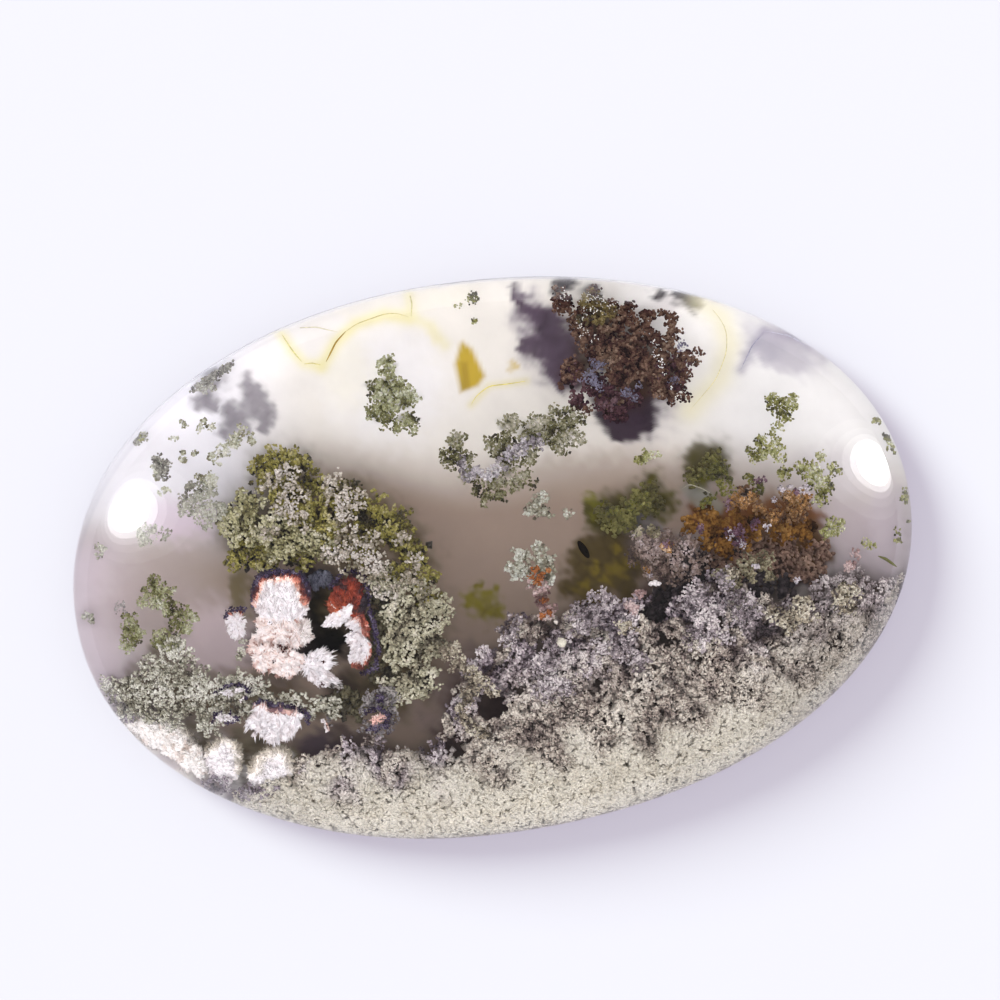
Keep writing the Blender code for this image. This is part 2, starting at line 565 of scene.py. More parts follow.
# Lobed blurs of moss that lies deep: red, green, blue, strength and round clumps of x, y, radius
BLURS = [
    (124, 116, 40, 0.95, [
        (470, 598, 9), (481, 606, 12), (492, 596, 8), (490, 615, 9), (478, 586, 6), (464, 604, 6),
        (498, 607, 6)]),
    (88, 86, 38, 0.95, [
        (604, 508, 12), (622, 514, 16), (646, 500, 14), (652, 482, 11), (666, 498, 10), (594, 516, 8),
        (608, 526, 12), (632, 520, 14), (660, 510, 10), (702, 474, 16)]),
    (76, 70, 34, 0.9, [
        (596, 512, 9), (606, 518, 13), (650, 478, 10), (642, 500, 13), (712, 456, 17), (698, 463, 14),
        (722, 472, 14), (624, 508, 14), (612, 528, 12), (618, 540, 9), (662, 502, 8)]),
    (118, 116, 44, 0.8, [
        (600, 508, 7), (615, 516, 6), (636, 500, 8), (648, 486, 6), (714, 470, 7), (624, 522, 5),
        (590, 502, 5), (704, 478, 6)]),
    (80, 68, 36, 0.95, [
        (598, 569, 24), (583, 582, 14), (606, 550, 16), (622, 556, 15), (632, 545, 10), (616, 580, 16),
        (578, 566, 13), (570, 592, 13), (642, 536, 12), (588, 550, 13), (625, 590, 14), (634, 570, 14),
        (590, 596, 14)]),
    (128, 112, 42, 0.75, [
        (630, 562, 9), (618, 568, 9), (604, 580, 8), (612, 548, 5), (584, 588, 8), (592, 566, 6)]),
    (112, 100, 128, 0.6, [(524, 302, 12), (532, 318, 16), (545, 338, 26), (560, 368, 24), (640, 408, 30)]),
    (84, 68, 86, 0.95, [
        (518, 294, 5), (523, 302, 8), (530, 311, 11), (538, 319, 13), (548, 328, 16), (560, 340, 18),
        (546, 340, 15), (532, 344, 10), (524, 343, 7), (548, 354, 14), (562, 360, 17), (554, 370, 13),
        (568, 376, 14), (572, 350, 16), (562, 386, 8), (556, 322, 12)]),
    (50, 34, 50, 0.97, [
        (612, 422, 7), (626, 434, 7), (638, 432, 7), (652, 424, 6), (604, 396, 14), (614, 404, 16),
        (630, 404, 19), (620, 418, 17), (636, 420, 16), (628, 434, 10), (646, 410, 14), (648, 428, 8),
        (606, 414, 10), (650, 398, 13), (640, 388, 16), (618, 430, 9)]),
    (126, 124, 104, 0.75, [
        (386, 368, 7), (380, 390, 8), (395, 388, 11), (406, 398, 9), (385, 408, 10), (404, 420, 7)]),
    (122, 118, 102, 0.7, [
        (457, 448, 8), (470, 474, 6), (495, 482, 6), (510, 466, 8), (500, 448, 9), (510, 426, 8),
        (530, 436, 10), (548, 428, 11), (566, 424, 10), (558, 442, 8), (514, 483, 5)]),
    (66, 46, 34, 0.97, [
        (600, 330, 24), (625, 350, 32), (650, 370, 24), (630, 390, 18), (585, 366, 18), (672, 370, 14),
        (590, 305, 12)]),
    (50, 38, 38, 1.0, [
        (661, 292, 8), (656, 294, 6), (690, 299, 10), (684, 294, 7), (694, 304, 7), (568, 284, 9),
        (560, 286, 8), (590, 290, 6)]),
    (128, 122, 132, 0.85, [
        (207, 393, 10), (203, 401, 9), (212, 402, 8), (216, 380, 8), (228, 414, 9), (236, 421, 10),
        (228, 431, 6), (244, 415, 9), (248, 381, 9), (256, 386, 8), (252, 398, 11), (260, 408, 10),
        (266, 419, 9), (262, 427, 6)]),
    (104, 94, 76, 0.9, [
        (140, 690, 22), (180, 690, 28), (220, 698, 24), (162, 662, 15), (170, 640, 10), (252, 698, 16),
        (120, 688, 12), (290, 706, 16), (316, 708, 12)]),
    (90, 80, 56, 0.9, [
        (283, 480, 30), (250, 525, 30), (300, 510, 34), (350, 505, 26), (380, 525, 26), (412, 555, 22),
        (350, 550, 26), (420, 605, 26), (415, 640, 28), (405, 680, 26), (385, 700, 20), (385, 600, 22),
        (385, 640, 20), (345, 600, 26), (375, 675, 20)]),
    (78, 58, 52, 0.9, [
        (745, 555, 24), (775, 550, 26), (808, 550, 22), (802, 572, 16), (762, 575, 16), (720, 565, 16),
        (660, 580, 16), (690, 585, 14)]),
    (110, 66, 26, 0.95, [
        (700, 512, 14), (716, 516, 16), (734, 516, 15), (755, 516, 16), (775, 512, 16), (792, 512, 16),
        (808, 516, 12), (722, 536, 16), (740, 530, 12)]),
    (96, 70, 44, 0.95, [(790, 535, 20), (810, 540, 18), (775, 545, 18), (800, 556, 18), (820, 556, 14)]),
    (78, 60, 52, 0.9, [(750, 556, 18), (770, 566, 18), (796, 576, 14), (735, 560, 14), (812, 574, 12)]),
    (48, 42, 48, 0.95, [
        (690, 566, 12), (706, 560, 12), (680, 590, 10), (700, 584, 12), (660, 600, 12), (645, 612, 14),
        (668, 610, 14), (655, 622, 12)]),
    (124, 124, 134, 0.55, [(640, 522, 14), (650, 532, 14), (690, 545, 14), (700, 498, 10)]),
    (106, 92, 90, 0.85, [(648, 550, 18), (676, 552, 16), (664, 570, 14)]),
    # The olive-grey blur between the cream billows is painted shade
    (128, 120, 98, 0.8, [
        (205, 740, 12), (238, 748, 12), (240, 766, 8), (258, 757, 12), (292, 762, 12), (270, 752, 10),
        (248, 742, 12), (192, 730, 12), (150, 718, 10), (278, 786, 8)]),
    (255, 250, 244, 1.0, [
        (150, 730, 14), (166, 740, 16), (186, 754, 14), (200, 768, 12), (138, 722, 9), (176, 728, 9)]),
    (255, 254, 255, 1.0, [
        (221, 746, 9), (224, 758, 9), (229, 770, 9), (234, 780, 7), (214, 764, 6), (259, 780, 8),
        (270, 776, 8), (281, 763, 9), (276, 770, 7), (250, 772, 6), (262, 768, 6)]),
    (150, 132, 128, 0.7, [(460, 660, 16), (440, 690, 16), (430, 720, 16)]),
]

# Convex shapes: colour, strength, softness in pixels, corners
STAINS = [
    ((196, 168, 62), 1.0, 7, [(461, 341), (472, 349), (485, 376), (478, 386), (461, 392), (455, 364)]),
    ((150, 124, 50), 0.5, 5, [(461, 362), (468, 362), (470, 388), (461, 391)]),
    ((150, 152, 140), 0.6, 7,
     [(680, 488), (690, 483), (712, 492), (724, 504), (722, 514), (704, 514), (690, 502)]),
    ((236, 233, 232), 0.8, 6, [(281, 333), (330, 310), (352, 322), (326, 362), (302, 362)]),
    ((238, 234, 229), 0.7, 6, [(330, 312), (408, 292), (410, 314), (384, 313), (350, 325)]),
]

# Glows beside the yellow veins: colour, strength, width in pixels, corners
GLOWS = [
    ((234, 226, 160), 0.7, 7, [(322, 366), (336, 342), (356, 324), (384, 315), (409, 318)]),
    ((238, 231, 176), 0.7, 6, [(281, 333), (292, 350), (304, 363), (320, 366)]),
    ((236, 230, 184), 0.6, 6, [(409, 292), (411, 317), (430, 326), (445, 345)]),
    ((234, 228, 188), 0.6, 13, [(700, 300), (722, 318), (729, 345), (720, 378), (690, 410)]),
    ((232, 222, 160), 0.5, 4, [(471, 405), (489, 386), (526, 381)]),
    ((170, 166, 182), 0.8, 5, [(765, 331), (752, 348), (741, 370)]),
    ((174, 166, 186), 0.7, 5, [(765, 331), (800, 340), (824, 357)]),
]


def bent(value, px, py, seeds):
    """The picture coordinate moved to and fro by long and short waves."""
    for (reach, scale), seed in zip(SPOT_WAVES, seeds):
        value = value + reach * (waves(px, py, scale, seed) - 0.5)
    return value


def milk_tint(px, py):
    """Cream above and white right as painted light, taupe below a wavy level as painted shade, lavender left,
    then blurs.
    """
    level = py + LEVEL_WAVE * (waves(px, py, LEVEL_SCALE, 3) - 0.5)
    tint = np.broadcast_to(BACKLIT_CREAM, px.shape + (3,))
    tint = blend(tint, BACKLIT_WHITE, soft_step(px, 640, 760) * 0.8)
    tint = blend(tint, SHADE_TAUPE, soft_step(level, 415, 505) * (1 - 0.5 * soft_step(px, 720, 860)))
    left_level = level - 26 * soft_step(px, 200, 110)
    tint = blend(tint, VIOLET_WHITE, soft_step(px, 330, 200) * (1 - soft_step(left_level, 455, 585)))
    tint = blend(tint, LAVENDER, soft_step(px, 270, 130) * soft_step(left_level, 490, 590) * 0.9)
    tint = blend(tint, ROSE_GREY, soft_step(px, 760, 860) * soft_step(py, 470, 540) * 0.9)
    outwards = spot_share(px, py, *OVAL_MIDDLE, *OVAL_HALF, math.degrees(OVAL_TURN))
    rim_band = soft_step(outwards, 0.8, 1.0)
    tint = blend(tint, RIM_LAVENDER, rim_band * soft_step(px, 260, 140) * soft_step(level, 520, 580) * 0.8)
    # Painted shade on the milk below the bank's edge
    below = py - np.interp(px, BANK_EDGE[:, 0], BANK_EDGE[:, 1])
    tint = blend(tint, BANK_GAP_SHADE, soft_step(below, -14, 14))
    crust_depth = py - np.interp(px, CRUST_EDGE[:, 0], CRUST_EDGE[:, 1])
    tint = blend(tint, CRUST_TONE, soft_step(crust_depth, 0, 30))
    bent_x, bent_y = bent(px, px, py, (4, 7)), bent(py, px, py, (12, 13))
    # Painted shade and light: each blur is darker in the clefts between soft knobs and paler on their tops
    knob_shading = (0.6 + 0.5 * bumps(px, py, KNOB_SIZE, 14)[0])[..., None]
    for x, y, wide, tall, turn, red, green, blue, strength in SPOTS:
        share = spot_share(bent_x, bent_y, x, y, wide, tall, turn)
        amount = strength * (1 - soft_step(share, SPOT_START, SPOT_END))
        tint = blend(tint, light_value(red, green, blue), amount)
    for red, green, blue, strength, clumps in BLURS:
        amount = strength * clump_cover(bent_x, bent_y, clumps)
        tint = blend(tint, knob_shading * light_value(red, green, blue), amount)
    for colour, strength, soft, corners in STAINS:
        tint = blend(tint, light_value(*colour), strength * inside_shape(px, py, corners, soft))
    for colour, strength, width, corners in GLOWS:
        glow = np.exp(-(line_distance(px, py, corners) / width) ** 2)
        tint = blend(tint, light_value(*colour), strength * glow)
    girdle = soft_step(outwards, *GIRDLE_LINE) * soft_step(px, 330, 230) * soft_step(py, 600, 520)
    tint = blend(tint, GIRDLE_GREY, girdle * 0.5)
    # Painted light brightens the milk towards the upper rim, and less so on the right
    painted_rim_light = RIM_LIGHT_PAINTED * rim_band * soft_step(level, 500, 400) * (1 - 0.7 * soft_step(px, 700, 820))
    return MILK_SHARE * tint * (1 + painted_rim_light)[..., None]


# %% Milk sheet
def make_milk(material):
    """Rings of picture points sent down to one height, an edge along the girdle and a flat underside."""
    angle = np.linspace(0, 2 * np.pi, MILK_COLUMNS, endpoint=False)
    share = np.linspace(MILK_REACH, 0, MILK_ROWS, endpoint=False)
    px, py = oval_pixels(share[:, None], angle[None, :])
    place, _ = look_into(px, py, height=MILK_HEIGHT)
    polar = np.arctan2(place[0, :, 1], place[0, :, 0])
    rim = (rim_radius(polar) - WALL_GAP)[:, None] * np.stack([np.cos(polar), np.sin(polar)], -1)
    edge = np.concatenate([rim, np.full((MILK_COLUMNS, 1), MILK_HEIGHT)], 1)
    under = edge - [0, 0, MILK_THICKNESS]
    middle_x, middle_y = (np.array([value]) for value in OVAL_MIDDLE)
    centre, _ = look_into(middle_x, middle_y, height=MILK_HEIGHT)
    points = np.concatenate([under[None], edge[None], place]).reshape(-1, 3)
    points = np.concatenate([points, centre - [0, 0, MILK_THICKNESS], centre])
    tint = milk_tint(px, py)
    tint = np.concatenate([tint[:1], tint[:1], tint]).reshape(-1, 3)
    middle_tint = milk_tint(middle_x, middle_y)
    tint = np.concatenate([tint, middle_tint, middle_tint])
    rows = MILK_ROWS + 2
    first, last = np.arange(MILK_COLUMNS), (rows - 1) * MILK_COLUMNS + np.arange(MILK_COLUMNS)
    faces = [grid_faces(rows, MILK_COLUMNS)[:, ::-1], fan_faces(rows * MILK_COLUMNS, first),
             fan_faces(rows * MILK_COLUMNS + 1, last, flip=True)]
    return new_piece("milky_body", points, faces, material, tint)


milk, *_ = tinted_material("milky_chalcedony", scale=900.0, detail=4.0, darkest=0.97, palest=1.03,
                           roughness=0.6, gloss=0.0)
make_milk(milk)

# %% [markdown]
# ## Moss from crumbs
#
# Seen close, the moss is heaps of crumbs a tenth of a millimetre across, with dark gaps between the heaps.
# A crumb could be modelled once and copied, but copies look stamped. Here each crumb is an octahedron, turned
# at random, whose six corners are moved in and out by chance, and all of them are made in one array. Larger
# lumps start from twelve corners and are rounder.

# %% Crumbs and lumps
GOLDEN = (1 + 5 ** 0.5) / 2
CRUMB_CORNERS = np.array([(1, 0, 0), (-1, 0, 0), (0, 1, 0), (0, -1, 0), (0, 0, 1), (0, 0, -1)], float)
CRUMB_FACES = np.array([(0, 2, 4), (2, 1, 4), (1, 3, 4), (3, 0, 4),
                        (2, 0, 5), (1, 2, 5), (3, 1, 5), (0, 3, 5)])
ICOSAHEDRON = np.array([
    (-1, GOLDEN, 0), (1, GOLDEN, 0), (-1, -GOLDEN, 0), (1, -GOLDEN, 0),
    (0, -1, GOLDEN), (0, 1, GOLDEN), (0, -1, -GOLDEN), (0, 1, -GOLDEN),
    (GOLDEN, 0, -1), (GOLDEN, 0, 1), (-GOLDEN, 0, -1), (-GOLDEN, 0, 1)])
LUMP_CORNERS = ICOSAHEDRON / np.linalg.norm(ICOSAHEDRON[0])
LUMP_FACES = np.array([
    (0, 11, 5), (0, 5, 1), (0, 1, 7), (0, 7, 10), (0, 10, 11), (1, 5, 9), (5, 11, 4), (11, 10, 2),
    (10, 7, 6), (7, 1, 8), (3, 9, 4), (3, 4, 2), (3, 2, 6), (3, 6, 8), (3, 8, 9), (4, 9, 5), (2, 4, 11),
    (6, 2, 10), (8, 6, 7), (9, 8, 1)])
CRUMB = (CRUMB_CORNERS, CRUMB_FACES, 0.42)
LUMP = (LUMP_CORNERS, LUMP_FACES, 0.3)
POLISH_GAP = 0.1 * MM
SHEET_GAP = 0.05 * MM


def keep_inside(places, radii):
    """Grains moved just enough to lie between the milk and the polish, and within the girdle."""
    x, y, z = places.T
    polar = np.arctan2(y, x)
    rim = rim_radius(polar)
    z = np.clip(z, MILK_HEIGHT + SHEET_GAP + 0.5 * radii, THICKNESS - radii - POLISH_GAP)
    up = np.clip((z + radii + POLISH_GAP - GIRDLE_TOP) / DOME_HEIGHT, 0, 0.999)
    limit = (1 - up ** (1 / SHOULDER_POWER)) ** (1 / DOME_FLATNESS) * rim - radii - POLISH_GAP
    out = np.minimum(np.hypot(x, y), limit)
    return np.stack([out * np.cos(polar), out * np.sin(polar), z], -1)


def turned_at_random(corners, count, chance):
    """The corners turned by count random unit quaternions: v + 2 q x (q x v + w v)."""
    quaternion = chance.normal(size=(count, 4))
    quaternion /= np.linalg.norm(quaternion, axis=1, keepdims=True)
    w, q = quaternion[:, None, :1], quaternion[:, None, 1:]
    v = np.broadcast_to(corners, (count,) + corners.shape)
    return v + 2 * np.cross(q, np.cross(q, v) + w * v)


def grain_piece(name, patches, material, seed, kind=CRUMB):
    """Corner k of grain i lies at places_i + radii_i x (1 + chance) x corner_k, turned at random."""
    places, radii, tints = (np.concatenate(parts) for parts in zip(*patches))
    corners, faces, ragged = kind
    chance = np.random.default_rng(seed)
    places = keep_inside(places, radii)
    reach = radii[:, None] * (1 + ragged * (2 * chance.random((len(radii), len(corners))) - 1))
    points = places[:, None] + reach[..., None] * turned_at_random(corners, len(radii), chance)
    faces = faces[None] + len(corners) * np.arange(len(radii))[:, None, None]
    return new_piece(name, points.reshape(-1, 3), [faces.reshape(-1, 3)], material,
                     np.repeat(tints, len(corners), axis=0))


# %% [markdown]
# ## Heads and florets
#
# A patch of moss is given as a few round clumps: picture x and y, radius in pixels, and depth under the
# polish in millimetres. Like a cauliflower, it parts into heads with dark clefts between them, and a head
# bears florets. Over each floret's middle lie crumbs, high in the middle and low at the sides. The tops are
# paler than the sides and the clefts: partly the moss's own pale tips, partly painted shade.

# %% Scattering florets in clumps
PIXEL = PIXEL_AT_TARGET
RIM_SHARE = 0.992


def at_depth(depth, *clumps):
    """The same depth for each clump of picture x, y and radius."""
    return [(*clump, depth) for clump in clumps]


def string_of(depth, radius, *corners):
    """A row of round clumps along a line through the corners, a radius apart."""
    corners = np.array(corners, float)
    lengths = np.hypot(*np.diff(corners, axis=0).T)
    reach = np.concatenate([[0], np.cumsum(lengths)])
    steps = np.linspace(0, reach[-1], max(int(reach[-1] / radius), 1) + 1)
    return [(x, y, radius, depth) for x, y in zip(np.interp(steps, reach, corners[:, 0]),
                                                  np.interp(steps, reach, corners[:, 1]))]


def scatter_florets(clumps, spacing, seed, ragged=0.3):
    """Middles a spacing apart, moved by chance and kept inside a clump, as (x, y, depth) arrays."""
    chance = np.random.default_rng(seed)
    x, y, radius, depth = np.array(clumps, float).T
    gx, gy = np.meshgrid(np.arange((x - radius).min(), (x + radius).max(), spacing),
                         np.arange((y - radius).min(), (y + radius).max(), spacing))
    px, py = (g.ravel() + spacing * (chance.random(g.size) - 0.5) * 1.2 for g in (gx, gy))
    shade_and_mottle = 1 + ragged * (2 * chance.random(px.size) - 1)
    away = np.hypot(px[:, None] - x, py[:, None] - y) / radius * shade_and_mottle[:, None]
    near = np.maximum(1.1 - away, 0)
    kept = away.min(1) < 1
    mean_depth = (near * depth).sum(1)[kept] / near.sum(1)[kept]
    return px[kept], py[kept], mean_depth * MM


def ramp(tone, *colours):
    """Colours between the given ones, which lie evenly along tone from 0 to 1."""
    stops = np.linspace(0, 1, len(colours))
    stack = np.stack(colours)
    return np.stack([np.interp(tone, stops, stack[:, i]) for i in range(3)], -1)


def floret_grains(px, py, depth, count, width, size, seed):
    """Grains over each middle. A grain at distance d lies lower by width x (1 - sqrt(1 - (d/width)^2)).

    Gives picture x and y, depth, radius, lift from 0 at the side to 1 on top, and the floret's number.
    """
    chance = np.random.default_rng(seed)
    floret = np.repeat(np.arange(px.size), count)
    spread = width * (0.75 + 0.5 * chance.random(px.size))[floret]
    distance = np.sqrt(chance.random(floret.size))
    way = 2 * np.pi * chance.random(floret.size)
    lift = np.sqrt(1 - distance**2)
    gx = px[floret] + spread * distance * np.cos(way)
    gy = py[floret] + spread * distance * np.sin(way)
    sink = 1.3 * spread * PIXEL * (1 - lift) + 0.25 * spread * PIXEL * chance.random(floret.size)
    radii = size * PIXEL * (0.7 + 0.6 * chance.random(floret.size)) * (1.15 - 0.3 * lift)
    return gx, gy, depth[floret] + sink, radii, lift, floret


def moss_tone(lift, height, head, cloud, chance):
    """Tone from 0, dark, to 1, pale. It rises with lift and height as painted shade, and varies by head,
    cloud and chance.
    """
    return (0.5 + 0.3 * (lift**2 - 0.6) + 0.7 * (height - 0.78) + 0.25 * (head - 0.5) + 0.5 * (cloud - 0.5)
            + 0.3 * (chance.random(lift.size) - 0.5))


def moss_patch(clumps, colours, seed, spacing=5.0, count=9, width=4.2, size=1.8, head=13.0, cleft=14.0,
               cloud=40, pale=0.0, ragged=0.3):
    """A patch's places, radii and tints. Between its heads the moss lies up to cleft pixels deeper."""
    px, py, depth = scatter_florets(clumps, spacing, seed, ragged)
    gx, gy, depth, radii, lift, _ = floret_grains(px, py, depth, count, width, size, seed + 1)
    height, number = bumps(gx, gy, head, seed)
    places, share = look_into(gx, gy, depth=depth + cleft * PIXEL * (1 - height))
    tone = pale + moss_tone(lift, height, number, waves(gx, gy, cloud, seed), np.random.default_rng(seed + 2))
    seen = share < RIM_SHARE
    return places[seen], radii[seen], ramp(tone, *colours)[seen]


# %% Material of the moss
SPECKLE_SCALE = 9000.0
SPECKLE_DETAIL = 2.0
SPECKLE_DEPTH = 0.03 * MM


def moss_material(name, roughness, darkest=0.7, relief=0.4, gloss=0.5):
    """The grains' own tint, speckled by fine noise down to the darkest share, with a crumbly bump."""
    material, tree, shader, speckle = tinted_material(
        name, SPECKLE_SCALE, SPECKLE_DETAIL, darkest, 1.5 - 0.5 * darkest, roughness, gloss)
    bump = add_node(tree, "ShaderNodeBump", Strength=relief, Distance=SPECKLE_DEPTH)
    tree.links.new(speckle.outputs["Fac"], bump.inputs["Height"])
    tree.links.new(bump.outputs["Normal"], shader.inputs["Normal"])
    return material


moss = moss_material("moss", 0.6)
# A sheen would turn the dark moss grey, so it has none
dark_moss = moss_material("dark_moss", 0.8, darkest=0.75, gloss=0.0)
deep_moss = moss_material("deep_moss", 0.8, darkest=0.95, relief=0.05)

# %% [markdown]
# ## The bank
#
# The lower third of the stone is a bank of pale sage and cream moss. Its upper edge is ragged, greyer and
# more violet, and dark hollows open in it, where painted shade on the milk shows. A bed of coarse, darker
# crumbs lies under the pale ones; its darkening is painted shade.

# %% Bank of pale moss
BANK_HOLLOWS = np.array([
    (492, 706, 16), (456, 748, 12), (596, 686, 8), (521, 689, 6), (655, 612, 13), (500, 740, 5),
    (545, 766, 4), (452, 800, 4), (664, 640, 7), (840, 640, 5), (430, 770, 4), (620, 720, 4), (700, 660, 4),
    (760, 640, 4), (540, 650, 6), (508, 664, 5), (571, 640, 6), (602, 640, 5), (720, 620, 5),
    (690, 625, 5)])
BANK_SPACING = 4.8
BANK_COUNT = 11
BANK_REACH = 0.988


def bank_florets(seed, spacing):
    """Middles below the bank's edge and outside its hollows, and how far below the edge they lie."""
    chance = np.random.default_rng(seed)
    gx, gy = np.meshgrid(np.arange(180, 925, spacing), np.arange(560, 850, spacing))
    px, py = (g.ravel() + spacing * (chance.random(g.size) - 0.5) * 1.3 for g in (gx, gy))
    below = py - np.interp(px, BANK_EDGE[:, 0], BANK_EDGE[:, 1]) - 12 * (waves(px, py, 24, seed) - 0.5)
    hollow = (np.hypot(px[:, None] - BANK_HOLLOWS[:, 0], py[:, None] - BANK_HOLLOWS[:, 1])
              < BANK_HOLLOWS[:, 2] * (0.8 + 0.4 * chance.random((px.size, 1)))).any(1)
    _, share = look_into(px, py, depth=0.1 * MM)
    kept = (below > 0) & ~hollow & (share < BANK_REACH)
    return px[kept], py[kept], below[kept]


BANK_COLOURS = shades((98, 82, 80), (142, 128, 121), (184, 172, 162), (209, 200, 188), (226, 218, 208))
CRUST_COLOURS = shades((200, 193, 179), (210, 204, 191), (214, 209, 197), (217, 212, 201), (221, 216, 206))
HAZE_COLOUR = light_value(150, 141, 133)
EDGE_COLOURS = shades((66, 51, 64), (96, 82, 92), (150, 136, 146), (194, 182, 188), (226, 217, 220))
PIT_SHARE = 0.15
PIT_HEIGHT = 0.88
# Share of its tint that the deep bed keeps above the crust, as painted shade
BED_SHADE_SHARE = 0.5
# The bank's large, middle and small bumps: size, seed and the depth of the clefts between them, in pixels
BANK_BUMPS = [(34, 9, 18), (15, 5, 14), (8, 7, 5)]
PIT_SIZE = 9
# Painted light that brightens the crust near the lower rim
RIM_CRUST_LIGHT = 0.14


def bank_patch(seed, spacing, count, width, size, sink):
    """Crumbs on large, middle and small bumps, which flatten to an even crust low down. Pits are left out."""
    px, py, below = bank_florets(seed, spacing)
    base = (0.3 + sink + 0.6 * waves(px, py, 80, 6) + 0.5 * (1 - soft_step(below, 0, 50))) * MM
    gx, gy, depth, radii, lift, floret = floret_grains(px, py, base, count, width, size, seed + 1)
    (large, large_number), (middle, number), (small, _) = (
        bumps(gx, gy, size, bump_seed) for size, bump_seed, _ in BANK_BUMPS)
    pit, pit_number = bumps(gx, gy, PIT_SIZE, 13)
    crust_line = np.interp(gx, CRUST_EDGE[:, 0], CRUST_EDGE[:, 1])
    low = soft_step(gy - crust_line + 45 * (waves(gx, gy, 60, 10) - 0.5), -26, 26)
    relief = sum(cleft * (1 - height) for height, (_, _, cleft) in zip((large, middle, small), BANK_BUMPS))
    depth = base[floret] + (depth - base[floret]) * (1 - 0.93 * low) + relief * PIXEL * (1 - 0.96 * low)
    grey = np.random.default_rng(seed + 2)
    near_edge = 1 - soft_step(below[floret], 20, 100)
    # Tone rises with each crumb's lift and the bumps' height: painted shade low on the sides and in the
    # clefts, stronger near the edge
    tone = (0.48 + 0.5 * (lift**2 - 0.5) + 0.6 * (middle - 0.78) + 0.3 * (small - 0.7) + 0.2 * (number - 0.5)
            + (0.3 + 0.9 * near_edge) * (large - 0.78) + 0.2 * (large_number - 0.5)
            + 0.35 * (waves(gx, gy, 60, 11) - 0.5)
            + 0.12 * (grey.random(px.size)[floret] - 0.5) + 0.08 * (grey.random(gx.size) - 0.5))
    tints = ramp(tone, *BANK_COLOURS)
    tints = blend(tints, ramp(tone, *EDGE_COLOURS), near_edge * soft_step(large_number, 0.3, 0.5))
    tints = blend(tints, ramp(tone, *CRUST_COLOURS), low)
    # The deep bed is darkened as painted shade, except in the crust
    tints = tints * (BED_SHADE_SHARE + (1 - BED_SHADE_SHARE) * low if sink else np.ones(low.size))[:, None]
    tints = blend(tints, HAZE_COLOUR, 0.45 * soft_step(gx, 720, 840))
    # Painted light: crumbs near the lower left rim are brightened where the dome lets less light reach them
    rim_light_side = soft_step(gy - crust_line, 20, 60) * (1 - soft_step(gx, 560, 700))
    tints = tints * (1 + RIM_CRUST_LIGHT * rim_light_side)[:, None]
    radii = radii * (1 + 0.5 * low)
    places, share = look_into(gx, gy, depth=depth)
    seen = (share < RIM_SHARE) & ~((pit_number < PIT_SHARE) & (pit > PIT_HEIGHT) & (sink == 0))
    seen &= (sink == 0) | (below[floret] > 12)
    return places[seen], radii[seen], tints[seen]


bank = bank_patch(31, BANK_SPACING, BANK_COUNT, 3.7, 1.58, 0.0)
thirds = np.arange(len(bank[1])) % 3
for third, name in enumerate(("moss_bank_a", "moss_bank_b", "moss_bank_c")):
    grain_piece(name, [[array[thirds == third] for array in bank]], moss, 34 + third)
deep_bank = bank_patch(38, 6.0, 2, 5.0, 4.2, 0.3)
grain_piece("moss_bank_bed", [deep_bank], moss, 41)

# %% Crisp heads on the bank's edge
EDGE_HEADS = at_depth(
    0.5, (694, 597, 15), (709, 607, 13), (684, 604, 8), (722, 578, 8), (728, 592, 9), (746, 598, 10),
    (742, 610, 11), (755, 612, 9), (590, 612, 14), (604, 600, 10), (580, 624, 11), (508, 634, 9),
    (513, 620, 6), (560, 640, 9), (620, 648, 12), (600, 655, 12), (640, 660, 10), (700, 636, 14),
    (722, 640, 12), (545, 664, 12), (560, 688, 12), (540, 690, 10), (585, 668, 9))
EDGE_BRANCH = (
    string_of(0.6, 6, (446, 652), (456, 658), (468, 668), (480, 680), (470, 694), (461, 708), (466, 722),
        (482, 732))
    + at_depth(0.6, (452, 650, 7), (458, 662, 8), (474, 676, 7), (492, 690, 6)))
EDGE_PALE = at_depth(
    0.5, (628, 626, 8), (846, 594, 12), (838, 600, 7), (800, 612, 12), (790, 620, 10), (850, 606, 8),
    (775, 614, 8), (812, 620, 8), (732, 574, 5), (728, 584, 5))
LAVENDER_COLOURS = shades((68, 56, 60), (110, 98, 102), (164, 153, 158), (202, 192, 195), (230, 222, 222))
IVORY_COLOURS = shades((66, 56, 46), (124, 112, 96), (178, 168, 148), (208, 200, 182), (228, 222, 210))
grain_piece("moss_bank_heads", [
    moss_patch(EDGE_HEADS, LAVENDER_COLOURS, 211, spacing=4.4, head=9, cleft=16, size=1.6),
    moss_patch(EDGE_BRANCH, IVORY_COLOURS, 214, spacing=4, width=3.8, head=8, cleft=10, size=1.5),
    moss_patch(EDGE_PALE, IVORY_COLOURS, 217, spacing=4.4, head=9, cleft=14, size=1.7)], moss, 220)

# %% [markdown]
# ## The arch
#
# An arch of olive moss stands in the left middle. Its upper left is mint grey, its right arm pale sage, and
# whitish crumbs cap its outer heads.

